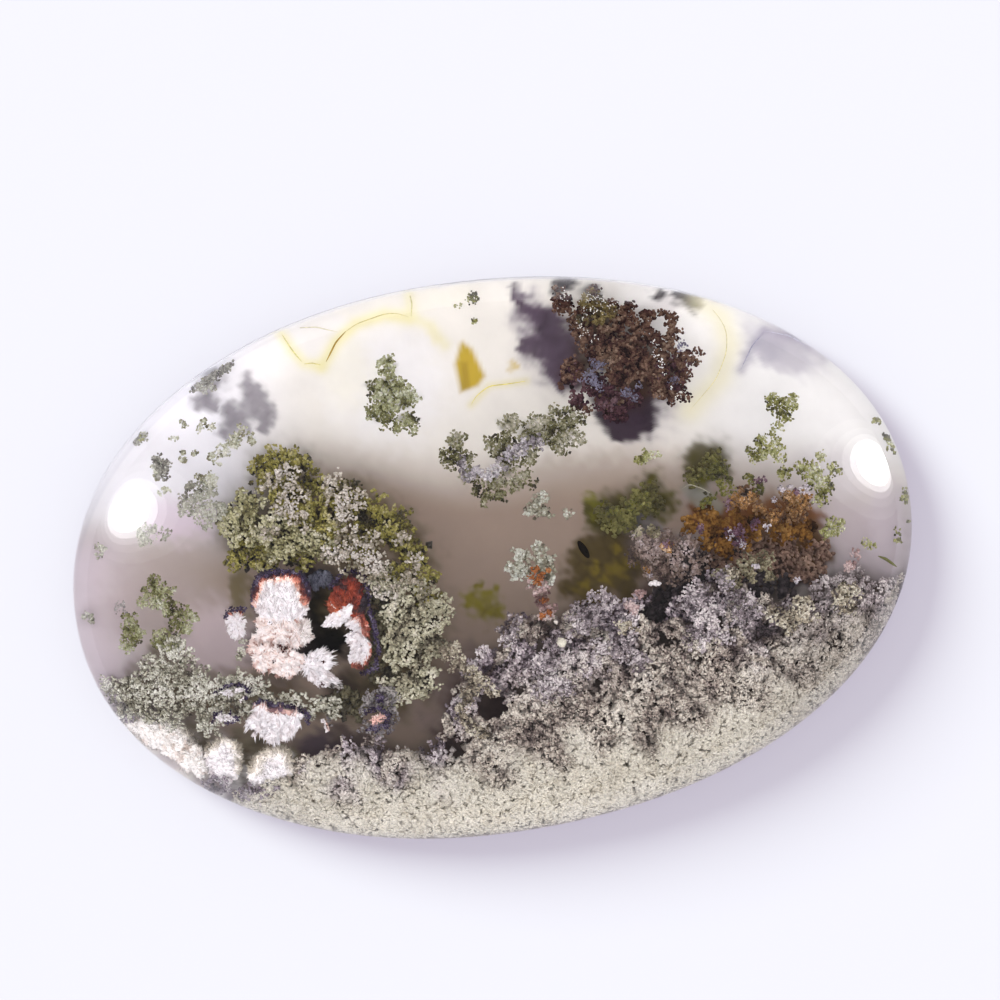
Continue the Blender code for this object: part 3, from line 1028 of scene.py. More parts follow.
# %% Arch of olive moss
ARCH_OLIVE = [
    (283, 470, 24, 1.3), (265, 468, 15, 1.4), (300, 466, 12, 1.4), (312, 482, 9, 1.8), (372, 520, 20, 1.0),
    (392, 526, 18, 1.2), (404, 540, 14, 1.2), (412, 553, 15, 1.1), (250, 550, 18, 1.9), (236, 560, 10, 2.2),
    (262, 562, 14, 2.0), (315, 515, 16, 1.1), (340, 500, 20, 1.0), (300, 560, 10, 1.8), (425, 580, 12, 1.3),
    (330, 530, 16, 1.1), (430, 600, 12, 1.3), (395, 575, 14, 1.1), (290, 500, 18, 1.1), (360, 545, 16, 1.0)]
ARCH_SAGE = [
    (232, 520, 16, 1.5), (246, 506, 16, 1.4), (258, 530, 18, 1.3), (285, 522, 18, 1.2), (302, 536, 18, 1.2),
    (322, 546, 16, 1.1), (280, 546, 16, 1.4), (240, 538, 10, 1.7)]
ARCH_PALE = [
    (400, 590, 16, 1.0), (420, 605, 20, 1.0), (438, 612, 14, 1.3), (396, 612, 13, 1.0), (415, 635, 20, 1.0),
    (430, 642, 14, 1.2), (405, 658, 18, 1.0), (418, 680, 18, 1.2), (395, 690, 14, 1.3), (385, 702, 12, 1.5),
    (441, 650, 7, 1.5), (380, 582, 12, 0.9), (400, 640, 16, 1.0)]
ARCH_WHITE = [
    (288, 474, 11, 0.9), (292, 491, 12, 0.8), (283, 505, 10, 0.9), (268, 482, 7, 1.0), (338, 488, 13, 0.6),
    (352, 498, 14, 0.6), (345, 512, 11, 0.7), (348, 540, 14, 0.6), (365, 553, 16, 0.6), (376, 570, 14, 0.6),
    (346, 560, 12, 0.7), (402, 540, 7, 0.9), (418, 562, 8, 0.8), (410, 578, 9, 0.8), (270, 530, 8, 1.0),
    (300, 520, 9, 0.9), (385, 590, 10, 0.7), (372, 542, 9, 0.7), (330, 555, 8, 0.8)]
ARCH_SHADE = [
    (378, 618, 13, 1.9), (380, 645, 12, 1.9), (386, 668, 12, 1.9), (374, 600, 9, 1.7), (345, 700, 14, 2.0),
    (350, 712, 10, 2.0), (335, 705, 10, 2.0)]
OLIVE_COLOURS = shades((44, 37, 17), (90, 82, 32), (136, 128, 54), (160, 152, 86), (190, 182, 148))
SAGE_COLOURS = shades((72, 65, 44), (126, 120, 78), (170, 166, 126), (192, 188, 156), (214, 208, 190))
PALE_COLOURS = shades((90, 82, 68), (150, 143, 120), (184, 180, 154), (204, 200, 178), (218, 212, 196))
WHITE_COLOURS = shades((96, 86, 60), (146, 137, 116), (188, 179, 166), (206, 198, 190), (218, 211, 206))
SHADE_COLOURS = shades((38, 32, 30), (70, 64, 46), (98, 92, 66), (124, 118, 94))

grain_piece("moss_arch", [
    moss_patch(ARCH_OLIVE, OLIVE_COLOURS, 41),
    moss_patch(ARCH_SAGE, SAGE_COLOURS, 44)], moss, 47)
grain_piece("moss_arch_pale", [
    moss_patch(ARCH_PALE, PALE_COLOURS, 48),
    moss_patch(ARCH_WHITE, WHITE_COLOURS, 51, count=6, cleft=8)], moss, 54)
arch_bed = [(x, y, 0.75 * r, d + 0.9) for x, y, r, d in ARCH_OLIVE + ARCH_SAGE + ARCH_PALE]
grain_piece("moss_arch_bed", [
    moss_patch(arch_bed, SHADE_COLOURS, 55, spacing=7, count=3, width=6, size=3.9, pale=-0.25),
    moss_patch(ARCH_SHADE, SHADE_COLOURS, 58, spacing=7, count=8, width=6, size=3.2)], moss, 61)

# %% [markdown]
# ## Brown moss
#
# Manganese coloured the moss near the upper edge brown and violet. It hangs in loose dark tufts, deeper and
# more violet on its left side, with a few white crumbs in it.

# %% Brown moss at the top
BROWN = at_depth(
    1.0, (563, 304, 10), (592, 309, 13), (607, 306, 8), (583, 331, 11), (626, 310, 9), (619, 320, 9),
    (647, 320, 7), (642, 334, 10), (670, 319, 7), (673, 333, 8), (662, 313, 3), (665, 346, 9),
    (607, 339, 14), (622, 354, 17), (600, 356, 13), (573, 370, 11), (566, 380, 8), (586, 409, 5),
    (622, 374, 15), (642, 365, 15), (661, 362, 11), (676, 362, 9), (690, 357, 7), (699, 350, 4),
    (693, 362, 5), (681, 376, 7), (690, 374, 3), (661, 386, 11), (673, 397, 6), (682, 394, 5),
    (687, 398, 3), (595, 291, 5), (575, 318, 8), (558, 290, 5), (636, 346, 10), (652, 340, 8),
    (588, 345, 9), (632, 322, 6))
BROWN_LOW = at_depth(
    1.2, (577, 400, 8), (572, 372, 10), (682, 362, 8), (676, 384, 8), (660, 372, 7), (612, 396, 10),
    (604, 403, 8), (620, 405, 9), (632, 396, 9), (595, 386, 12), (612, 414, 6), (600, 400, 8),
    (622, 416, 6))
SPARKS = at_depth(
    0.5, (586, 299, 8), (600, 305, 9), (592, 309, 7), (580, 320, 5), (584, 331, 6), (594, 338, 4),
    (655, 344, 4), (657, 354, 5), (660, 364, 4), (563, 296, 5), (610, 303, 5), (671, 388, 4), (676, 396, 3),
    (664, 372, 3))
GOLDEN_IN_BROWN = at_depth(0.7, (600, 304, 10), (588, 300, 7), (610, 312, 7), (598, 316, 6), (582, 318, 5))
BLUE_IN_BROWN = at_depth(
    0.7, (590, 378, 7), (596, 366, 6), (598, 384, 5), (603, 362, 3), (624, 392, 5), (631, 396, 4),
    (640, 388, 3), (674, 380, 3), (682, 346, 4))
BROWN_COLOURS = shades((36, 21, 25), (66, 43, 41), (93, 67, 58), (118, 93, 78), (144, 121, 106))
LOW_COLOURS = shades((38, 22, 34), (64, 40, 48), (88, 60, 66), (112, 88, 94))
GOLDEN_COLOURS = shades((38, 28, 14), (82, 66, 28), (122, 104, 52), (156, 142, 98))
SPARK_COLOURS = shades((200, 190, 160), (236, 230, 222), (250, 248, 248))
BLUE_COLOURS = shades((70, 60, 78), (104, 98, 122), (146, 144, 168))
FROST_COLOURS = shades((70, 60, 58), (130, 120, 126), (178, 170, 180), (214, 206, 212))

BROWN_TUFTS = dict(spacing=4.0, count=8, width=3.6, size=1.4, head=10, cleft=20, ragged=0.15)
grain_piece("moss_brown", [
    moss_patch(BROWN, BROWN_COLOURS, 71, **BROWN_TUFTS),
    moss_patch(BROWN_LOW, LOW_COLOURS, 74, **BROWN_TUFTS)], dark_moss, 76, LUMP)
grain_piece("moss_brown_frost", [
    moss_patch(GOLDEN_IN_BROWN, GOLDEN_COLOURS, 88, spacing=4.2, size=1.6, head=9, cleft=8),
    moss_patch(BLUE_IN_BROWN, BLUE_COLOURS, 77, spacing=3.6, count=10, width=3.4, size=1.0),
    moss_patch(SPARKS, SPARK_COLOURS, 80, spacing=3.6, count=2, width=2.6, size=0.8, pale=0.3)], moss, 83)
# The deep bed is a little darker than the tufts above it, as painted shade
brown_bed = [(x, y, 0.7 * r, 1.6) for x, y, r, _ in BROWN + BROWN_LOW if r > 5]
grain_piece("moss_brown_deep", [
    moss_patch(brown_bed, BROWN_COLOURS, 84, spacing=5, count=3, width=4.5, size=2.6, pale=-0.15)],
    dark_moss, 87, LUMP)

# %% [markdown]
# ## Green sprays
#
# Small sprays of green moss float clear of the milk: pale sage on top and olive at their edges. Some show a
# few orange or white crumbs.

# %% Green sprays
SPRAY_FINE = at_depth(
    1.0, (386, 368, 9), (387, 360, 5), (378, 390, 10), (395, 388, 13), (406, 398, 11), (385, 408, 12),
    (370, 411, 6), (408, 420, 7), (414, 434, 4), (397, 426, 6), (384, 424, 4), (412, 424, 5), (372, 384, 4))
SPRAY_WIDE = at_depth(
    1.2, (457, 440, 8), (449, 458, 9), (463, 457, 9), (470, 474, 8), (478, 488, 6), (495, 482, 8),
    (510, 462, 9), (515, 483, 8), (490, 444, 7), (500, 452, 9), (511, 424, 10), (506, 440, 9),
    (528, 440, 11), (535, 422, 7), (548, 428, 13), (567, 422, 12), (578, 438, 6), (560, 444, 10),
    (530, 457, 8), (576, 418, 7), (556, 410, 5), (486, 499, 6), (498, 495, 7), (526, 474, 6), (534, 486, 4))
SPRAY_VEIN = string_of(
    0.8, 4.5, (463, 462), (468, 478), (476, 470), (486, 474), (498, 470), (507, 457), (522, 448),
    (532, 438), (540, 444))
SPRAY_MINT = at_depth(
    1.2, (520, 560, 10), (512, 566, 6), (540, 553, 8), (546, 568, 10), (532, 574, 10), (520, 576, 6),
    (552, 580, 5), (538, 500, 7), (535, 510, 8), (548, 512, 4), (568, 514, 3), (545, 498, 4))
MINT_CHAIN = at_depth(
    1.1, (538, 588, 7), (542, 598, 5), (545, 606, 5), (550, 612, 6), (541, 616, 4), (532, 582, 6),
    (640, 594, 5), (632, 608, 6), (850, 566, 5), (856, 555, 4))
ORANGE_CRUMBS = at_depth(
    0.9, (535, 568, 3), (541, 575, 3), (538, 582, 3), (548, 570, 2), (531, 576, 2), (544, 601, 2),
    (550, 612, 2.5), (543, 616, 2), (516, 623, 2))
SPRAY_RIGHT = at_depth(
    1.2, (775, 403, 9), (788, 407, 9), (783, 418, 7), (793, 398, 5), (778, 427, 4), (766, 452, 9),
    (754, 456, 7), (762, 441, 5), (776, 445, 6), (778, 458, 5), (774, 434, 4), (784, 474, 5), (812, 472, 9),
    (821, 456, 5), (835, 469, 6), (824, 486, 9), (801, 466, 5), (821, 500, 7), (815, 480, 8), (834, 527, 8),
    (825, 532, 5), (842, 523, 4), (646, 456, 7), (657, 452, 3), (640, 462, 4), (868, 543, 4), (875, 547, 3),
    (900, 530, 4), (898, 539, 3), (472, 299, 5), (476, 321, 3), (457, 305, 2))
RIM_GREEN = at_depth(
    0.5, (878, 421, 5), (884, 437, 4), (893, 446, 6), (907, 496, 5), (912, 520, 3), (140, 436, 5))
SPRAY_LEFT = at_depth(
    1.0, (222, 367, 6), (213, 374, 6), (204, 381, 4), (184, 424, 4), (173, 437, 3), (206, 421, 4),
    (200, 430, 4), (213, 427, 4), (184, 456, 4), (195, 455, 3), (198, 463, 2), (225, 449, 7), (213, 455, 4),
    (236, 440, 7), (243, 430, 5), (250, 440, 4), (218, 462, 3), (211, 480, 6), (199, 476, 4), (160, 467, 8),
    (156, 478, 4), (165, 492, 4))
RIM_SILVER = at_depth(
    0.8, (197, 386, 6), (204, 380, 8), (212, 374, 8), (221, 368, 8), (228, 364, 6), (208, 386, 6),
    (141, 437, 6), (137, 440, 4), (162, 470, 9), (158, 462, 6))
SPRAY_MIST = at_depth(
    1.6, (195, 498, 14), (206, 489, 11), (206, 514, 12), (218, 511, 9), (207, 527, 4), (184, 508, 7),
    (138, 533, 5), (152, 528, 6), (145, 540, 6), (166, 535, 6), (134, 500, 4), (143, 507, 4), (99, 551, 5),
    (88, 617, 6))
SPRAY_LOW_LEFT = at_depth(
    1.0, (152, 580, 6), (155, 594, 12), (166, 594, 9), (168, 608, 9), (184, 616, 10), (192, 618, 6),
    (177, 624, 8), (130, 622, 9), (132, 634, 11), (128, 646, 6), (162, 640, 10), (172, 646, 10),
    (146, 600, 7), (186, 630, 6))
DUSK_LEFT = at_depth(0.8, (122, 604, 4), (118, 610, 3), (125, 611, 2))
FINE_COLOURS = shades((54, 50, 24), (98, 96, 48), (140, 140, 94), (174, 176, 142), (206, 208, 190))
WIDE_COLOURS = shades((46, 40, 22), (88, 84, 42), (130, 127, 92), (166, 162, 140), (198, 193, 182))
VEIN_COLOURS = shades((78, 68, 74), (136, 128, 134), (184, 178, 184), (214, 210, 212))
MINT_COLOURS = shades((84, 76, 62), (140, 136, 116), (182, 182, 168), (210, 212, 204), (228, 228, 224))
ROSE_COLOURS = shades((104, 74, 74), (170, 138, 136), (206, 182, 180), (230, 214, 212))
RUST_COLOURS = shades((110, 56, 24), (176, 104, 48), (206, 150, 100))
GREEN_COLOURS = shades((56, 52, 20), (102, 100, 38), (144, 144, 78), (180, 180, 138), (212, 212, 194))
PALE_LEFT = shades((88, 82, 58), (134, 130, 100), (178, 178, 154), (210, 210, 196), (228, 226, 218))
SILVER_COLOURS = shades((80, 74, 70), (130, 126, 118), (178, 176, 166), (214, 214, 206))
SLATE_COLOURS = shades((80, 72, 82), (140, 134, 136), (184, 180, 176))
MIST_COLOURS = shades((108, 104, 92), (156, 155, 140), (190, 190, 176), (214, 213, 204))

OPEN_SPRAY = dict(spacing=3.6, count=8, width=3.7, head=9, cleft=8, size=1.5, ragged=0.12)
CLOSE_SPRAY = {**OPEN_SPRAY, "spacing": 3.5, "cleft": 10}
grain_piece("moss_sprays", [
    moss_patch(SPRAY_FINE, FINE_COLOURS, 91, **CLOSE_SPRAY),
    moss_patch(SPRAY_WIDE, WIDE_COLOURS, 94, spacing=3.7, count=8, width=3.9, head=10, cleft=12, size=1.5,
               ragged=0.15),
    moss_patch(SPRAY_VEIN, VEIN_COLOURS, 97, spacing=4, width=3.5, size=1.6),
    moss_patch(SPRAY_MINT, MINT_COLOURS, 100, spacing=4.2, head=9, cleft=8, ragged=0.2),
    moss_patch(MINT_CHAIN, ROSE_COLOURS, 103, spacing=4, width=3.5, size=1.6),
    moss_patch(ORANGE_CRUMBS, RUST_COLOURS, 106, spacing=2, count=4, width=2, size=1.4),
    moss_patch(SPRAY_RIGHT, GREEN_COLOURS, 109, **OPEN_SPRAY),
    moss_patch(RIM_GREEN, GREEN_COLOURS, 112, spacing=4, width=3.5),
    moss_patch(RIM_SILVER, SILVER_COLOURS, 113, spacing=3.4, width=3, head=8, cleft=8, size=1.4, ragged=0.15),
    moss_patch(SPRAY_LEFT, PALE_LEFT, 115, spacing=3.6, width=3, head=8, cleft=4, size=1.4, ragged=0.15),
    moss_patch(SPRAY_MIST, MIST_COLOURS, 118, spacing=3.8, width=3.4, head=9, cleft=5, size=1.4, ragged=0.2),
    moss_patch(SPRAY_LOW_LEFT, FINE_COLOURS, 121, pale=0.05, **OPEN_SPRAY),
    moss_patch(DUSK_LEFT, SLATE_COLOURS, 122, spacing=3.4, width=2.6, size=1.0)], moss, 124)

# %% [markdown]
# ## Orange and brown moss on the right
#
# Right of the middle, iron coloured the moss orange and ochre. Behind it lie olive and lavender brown mounds.

# %% Mixed moss right of the middle
ORANGE_MOSS = at_depth(
    1.2, (737, 501, 8), (750, 500, 6), (773, 517, 7), (787, 517, 6), (789, 501, 9), (803, 501, 9),
    (794, 511, 6), (744, 491, 7), (803, 517, 6), (760, 510, 6))
OCHRE_MOSS = at_depth(
    2.0, (691, 526, 10), (712, 520, 10), (714, 535, 14), (734, 517, 10), (723, 545, 12), (760, 524, 10),
    (785, 530, 12), (807, 529, 11), (746, 535, 12), (700, 512, 6))
SMOKE_MOSS = at_depth(
    3.2, (821, 552, 11), (785, 551, 17), (810, 563, 13), (800, 574, 9), (766, 552, 15), (740, 562, 13),
    (720, 565, 11))
OLIVE_RIGHT = at_depth(
    1.8, (717, 474, 10), (723, 483, 8), (728, 490, 6), (708, 501, 6), (757, 487, 6), (748, 480, 5),
    (700, 494, 4), (646, 500, 5), (630, 506, 5), (612, 510, 6))
MOUNDS = at_depth(
    1.6, (648, 551, 17), (687, 549, 12), (676, 569, 14), (655, 570, 11), (700, 562, 9), (640, 538, 8),
    (668, 540, 8))
OLIVE_DEEP = at_depth(
    4.6, (606, 512, 9), (618, 520, 11), (641, 504, 11), (650, 490, 8), (628, 510, 10), (714, 462, 10),
    (702, 472, 9), (598, 512, 5), (658, 504, 7), (690, 478, 7), (610, 528, 6), (630, 522, 7))
DARK_DEEP = at_depth(
    3.6, (690, 566, 16), (706, 560, 14), (680, 592, 16), (700, 586, 14), (660, 600, 14), (645, 612, 14),
    (668, 612, 14), (655, 624, 10), (735, 570, 16), (760, 580, 16), (785, 585, 14), (720, 580, 14),
    (740, 560, 14))
SAGE_RIGHT = at_depth(
    1.0, (746, 565, 8), (764, 561, 9), (768, 574, 6), (752, 572, 6), (639, 533, 5), (653, 531, 5),
    (734, 582, 6), (724, 574, 8), (846, 592, 8))
AMBER_KNOBS = at_depth(
    0.9, (737, 500, 6), (744, 505, 4), (752, 497, 5), (763, 510, 4), (772, 517, 5), (782, 513, 4),
    (793, 498, 6), (800, 503, 5), (808, 496, 4), (797, 511, 5), (667, 546, 5), (647, 572, 3))
PALE_RIGHT = at_depth(
    1.0, (732, 533, 4), (742, 542, 3), (744, 546, 3), (768, 528, 3), (796, 581, 2), (791, 486, 4),
    (807, 490, 5), (757, 565, 3), (755, 572, 2), (650, 574, 2), (783, 488, 4), (774, 500, 3))
PURPLE_CRUMBS = at_depth(
    0.9, (735, 533, 6), (740, 540, 5), (753, 526, 6), (667, 545, 4), (762, 480, 4), (700, 530, 4),
    (728, 505, 3), (798, 490, 4))
ORANGE_COLOURS = shades((42, 25, 22), (92, 61, 36), (132, 93, 54), (158, 122, 80), (198, 168, 138))
OCHRE_COLOURS = shades((50, 33, 20), (92, 62, 30), (128, 90, 42), (152, 114, 66))
NIGHT_COLOURS = shades((28, 22, 26), (46, 38, 42), (66, 56, 60))
SMOKE_COLOURS = shades((98, 77, 68), (129, 103, 91), (156, 130, 114))
FOREST_COLOURS = shades((44, 40, 16), (78, 76, 26), (112, 110, 38), (142, 138, 76))
MOUND_COLOURS = shades((60, 45, 41), (100, 80, 71), (134, 114, 105), (160, 142, 137), (188, 174, 174))
DULL_SAGE_COLOURS = shades((62, 52, 34), (112, 102, 76), (152, 144, 116), (182, 175, 152))
AMBER_COLOURS = shades((54, 30, 10), (120, 78, 24), (174, 126, 66), (220, 192, 160))
VEILED_COLOURS = shades((66, 60, 32), (84, 78, 40), (102, 98, 50), (124, 120, 66))
PURPLE_COLOURS = shades((44, 24, 36), (92, 56, 76), (156, 126, 142))

grain_piece("moss_orange", [
    moss_patch(ORANGE_MOSS, ORANGE_COLOURS, 131, head=9, cleft=16, spacing=4.7),
    moss_patch(OLIVE_RIGHT, FOREST_COLOURS, 134, head=10),
    moss_patch(MOUNDS, MOUND_COLOURS, 137, head=12, cleft=9, size=1.5, count=11),
    moss_patch(SAGE_RIGHT, DULL_SAGE_COLOURS, 240, spacing=4.4, count=9, head=9, cleft=9, size=1.6),
    moss_patch(AMBER_KNOBS, AMBER_COLOURS, 243, spacing=3.4, count=8, width=2.6, head=6, cleft=6, size=1.1),
    moss_patch(PALE_RIGHT, FROST_COLOURS, 140, spacing=3.6, count=7, width=2.6, head=6, cleft=3, size=1.2,
               pale=0.25),
    moss_patch(PURPLE_CRUMBS, PURPLE_COLOURS, 143, spacing=4, size=1.4, width=3.5)], moss, 146)
grain_piece("moss_orange_deep", [
    moss_patch(OCHRE_MOSS, OCHRE_COLOURS, 147, spacing=5, count=7, width=4.5, size=2.0, head=14, cleft=20),
    moss_patch(SMOKE_MOSS, SMOKE_COLOURS, 150, spacing=5, count=7, width=5, size=1.9)], dark_moss, 153, LUMP)
grain_piece("moss_veiled", [
    moss_patch(OLIVE_DEEP, VEILED_COLOURS, 154, spacing=4.6, count=7, width=5, size=1.8, head=14, cleft=12),
    moss_patch(DARK_DEEP, NIGHT_COLOURS, 163, spacing=8, count=3, width=7, size=4.0)], deep_moss, 166, LUMP)

# Single white grains: picture x and y, depth in millimetres, radius in pixels, red, green and blue
PEBBLES = np.array([
    (651.5, 583.5, 0.7, 3.0, 224, 218, 220), (655.0, 583, 0.7, 3.3, 232, 226, 228),
    (658.5, 583.5, 0.7, 2.8, 226, 220, 222), (578, 661, 0.3, 6.0, 226, 221, 205),
    (556, 622, 0.8, 2.5, 206, 196, 190)])
pebble_places, _ = look_into(PEBBLES[:, 0], PEBBLES[:, 1], depth=PEBBLES[:, 2] * MM)
grain_piece("pebbles", [(pebble_places, PIXEL * PEBBLES[:, 3], light_value(*PEBBLES[:, 4:].T).T)],
            moss, 173, LUMP)

# %% [markdown]
# ## Left patch
#
# A fine grey-green patch covers the lower left. Below it, cream billows lie along the rim. They come with the
# plumes, and violet crumbs edge them here.

# %% Fine patch at the lower left
FINE_LEFT = at_depth(
    0.8, (115, 692, 10), (140, 688, 19), (165, 680, 20), (190, 690, 22), (170, 705, 18), (212, 700, 21),
    (240, 688, 14), (252, 688, 10), (199, 678, 11), (181, 658, 12), (175, 648, 13), (205, 722, 9),
    (130, 706, 13), (150, 665, 9), (108, 684, 7), (122, 716, 9), (280, 702, 9), (298, 700, 8),
    (316, 704, 7), (266, 698, 8), (240, 654, 5), (244, 642, 4), (310, 716, 6), (150, 715, 8),
    (232, 708, 12), (222, 704, 10), (248, 710, 7), (262, 700, 7), (290, 704, 7), (322, 706, 7),
    (334, 714, 5), (200, 718, 8), (212, 730, 6), (336, 702, 5), (218, 692, 9), (246, 682, 6), (262, 688, 6))
RIM_VIOLET = at_depth(
    0.8, (212, 782, 7), (225, 788, 7), (245, 792, 7), (262, 796, 7), (205, 786, 5), (280, 794, 7),
    (128, 722, 5))
LEFT_COLOURS = shades((78, 70, 62), (144, 140, 122), (194, 192, 176), (218, 216, 206), (232, 230, 222))
RIM_COLOURS = shades((72, 60, 70), (124, 112, 124), (168, 158, 166), (200, 192, 194))

grain_piece("moss_left", [
    moss_patch(FINE_LEFT, LEFT_COLOURS, 161, spacing=4.0, count=9, width=3.4, size=1.5, head=8, cleft=12),
    moss_patch(RIM_VIOLET, RIM_COLOURS, 164)], moss, 167)

# %% [markdown]
# ## Plumes
#
# The plumes are tufts of fine white fibres that fan out from a root, with red and orange tips where iron
# crept in. Each plume has its outline in the picture, its roots and, if it is burnt, the line its red tips
# follow; on the cream billows that line carries painted olive-grey shade instead. Fibres are sown inside
# the outline and point away from the nearest root, gathered in small tufts, paler along their middles and
# darker at their sides as painted shade. A bed of crumbs under them closes the gaps.

# %% Fibres
FIBRE_SIDES = 3
FIBRE_MIDDLE = 0.55
FAN_REACH = 18
TUFT_LENGTH = 0.36
TUFT_TURN = 0.7
TUFT_SINK = 0.5
BED_SPACING = 1.6
BED_GRAIN = 3.6
BED_INSET = 0.3
BED_SINK = 3.0
ROOTS_APART = 40
# Where a fibre's root and tip lie along its length from its middle, and how much the tip rises
FIBRE_ENDS = (-0.65, 0.35)
FIBRE_RISE = 2.0
# Tone steps at the root, the ring and the tip: darker at the root, which lies deeper, as painted shade
FIBRE_SHADES = (-0.27, 0.0, 0.17)


def fibre_piece(name, sheaves, material):
    """Spindles with a root, a ring of three points and a tip, coloured from root to tip."""
    roots, tips, widths, tints = (np.concatenate(parts) for parts in zip(*sheaves))
    way = tips - roots
    side = np.cross(way, [0, 0, 1])
    side /= np.linalg.norm(side, axis=1, keepdims=True)
    above = np.cross(side, way)
    above /= np.linalg.norm(above, axis=1, keepdims=True)
    angle = 2 * np.pi * np.arange(FIBRE_SIDES) / FIBRE_SIDES
    ring = (np.cos(angle)[:, None] * side[:, None] + np.sin(angle)[:, None] * above[:, None])
    middle = (roots + FIBRE_MIDDLE * way)[:, None] + widths[:, None, None] * ring
    points = np.concatenate([roots[:, None], middle, tips[:, None]], 1)
    corners = np.array([(0, 2, 1), (0, 3, 2), (0, 1, 3), (4, 1, 2), (4, 2, 3), (4, 3, 1)])
    faces = corners[None] + 5 * np.arange(len(roots))[:, None, None]
    colours = np.repeat(tints, [1, FIBRE_SIDES, 1], axis=1)
    return new_piece(name, points.reshape(-1, 3), [faces.reshape(-1, 3)], material, colours.reshape(-1, 3))


def inside_outline(px, py, corners):
    """True where a line to the right crosses the outline an odd number of times."""
    crossings = np.zeros(px.shape, int)
    for (x1, y1), (x2, y2) in zip(corners, np.roll(corners, -1, axis=0)):
        rise = y2 - y1 or 1
        crossings += ((y1 > py) != (y2 > py)) & (px < x1 + (py - y1) * (x2 - x1) / rise)
    return crossings % 2 == 1


def sow_plume(corners, roots, seed, spacing, tuft, ragged, inset=0.0):
    """Points in an outline, with their way out from the nearest root and its direction.

    The points lie in long tufts round the roots. Each tuft has its own number and its own reach past the
    outline. Its height is 1 along its middle and falls to both sides. All stay the inset inside the outline.
    """
    chance = np.random.default_rng(seed)
    corners, roots = np.array(corners, float), np.array(roots, float)
    low, high = corners.min(0) - ragged, corners.max(0) + ragged
    px, py = (low + (high - low) * chance.random((int(np.prod(high - low) / spacing**2), 2))).T
    away = np.hypot(px[:, None] - roots[:, 0], py[:, None] - roots[:, 1])
    nearest, out = away.argmin(1), away.min(1)
    way = np.arctan2(py - roots[nearest, 1], px - roots[nearest, 0])
    along_tufts = TUFT_LENGTH * out + ROOTS_APART * nearest
    height, number = bumps(along_tufts, FAN_REACH * way, tuft, len(corners))
    inwards = ragged * (number - 0.5) + inset
    kept = inside_outline(px + inwards * np.cos(way), py + inwards * np.sin(way), corners)
    return [array[kept] for array in (px, py, out, way, height, number)]


def plume_tints(px, py, height, number, colours, chance, burnt, tips, shifts):
    """A tint for each shift from root to tip: painted shade at a tuft's sides, and the tips' colours by the
    line if given.
    """
    # Paler along a tuft's middle and darker at its sides: painted shade
    tone = np.clip(2.2 * (height - 0.55) + 0.6 * (number - 0.5) + 0.4 * chance.random(px.size), 0, 1)
    tints = np.stack([ramp(tone + 1.5 * shift, *colours) for shift in shifts], 1)
    if burnt:
        line, reach_in = burnt
        t = line_distance(px, py, line) / reach_in + 0.3 * (number - 0.5) + 0.06 * chance.normal(size=px.size)
        charred = np.stack([ramp(t - 0.4 * shift, *tips) for shift in shifts], 1)
        # Tips are darker on a tuft's sides as painted shade, and mottled by each tuft's number and by chance
        shade_and_mottle = 0.5 + 0.8 * np.clip(height, 0.2, 0.8) + 0.15 * chance.random(px.size)
        charred *= (shade_and_mottle * (0.7 + 0.6 * number))[:, None, None]
        tints = tints + (charred - tints) * soft_step(t, 1.05, 0.85)[:, None, None]
    return tints


def plume_fibres(corners, roots, depth, colours, seed, length=9.0, width=0.7, spacing=1.9, spread=0.2,
                 slope=0.16, tuft=4.0, ragged=6.0, burnt=None, tips=None):
    """A plume's fibres. Depth grows with the way out and between the tufts, and a tuft has its own lean."""
    chance = np.random.default_rng(seed)
    px, py, out, way, height, number = sow_plume(corners, roots, seed, spacing, tuft, ragged)
    way = way + TUFT_TURN * (number - 0.5) + spread * chance.normal(size=px.size)
    reach = length * (0.7 + 0.6 * chance.random(px.size))
    ends = []
    for share in FIBRE_ENDS:
        ex, ey = px + share * reach * np.cos(way), py + share * reach * np.sin(way)
        rim_band = depth * MM + (slope * out + TUFT_SINK * tuft * (1 - height) - FIBRE_RISE * share) * PIXEL
        ends.append(look_into(ex, ey, depth=rim_band)[0])
    tints = plume_tints(px, py, height, number, colours, chance, burnt, tips, FIBRE_SHADES)
    return ends[0], ends[1], width * PIXEL * (0.7 + 0.6 * chance.random(px.size)), tints


def plume_bed(corners, roots, depth, colours, seed, length=9.0, slope=0.16, tuft=4.0, ragged=6.0, burnt=None,
              tips=None, **unused):
    """Grains under a plume's fibres, in the same tints. They stop short of the fibres' tips."""
    chance = np.random.default_rng(seed)
    inset = BED_INSET * length
    px, py, out, _, height, number = sow_plume(corners, roots, seed, BED_SPACING, tuft, ragged, inset)
    sink = slope * out + TUFT_SINK * tuft * (1 - height) + BED_SINK
    places, _ = look_into(px, py, depth=depth * MM + sink * PIXEL)
    tints = plume_tints(px, py, height, number, colours, chance, burnt, tips, (0.0,))[:, 0]
    return places, min(BED_GRAIN, 0.4 * length) * PIXEL * (0.8 + 0.4 * chance.random(px.size)), tints


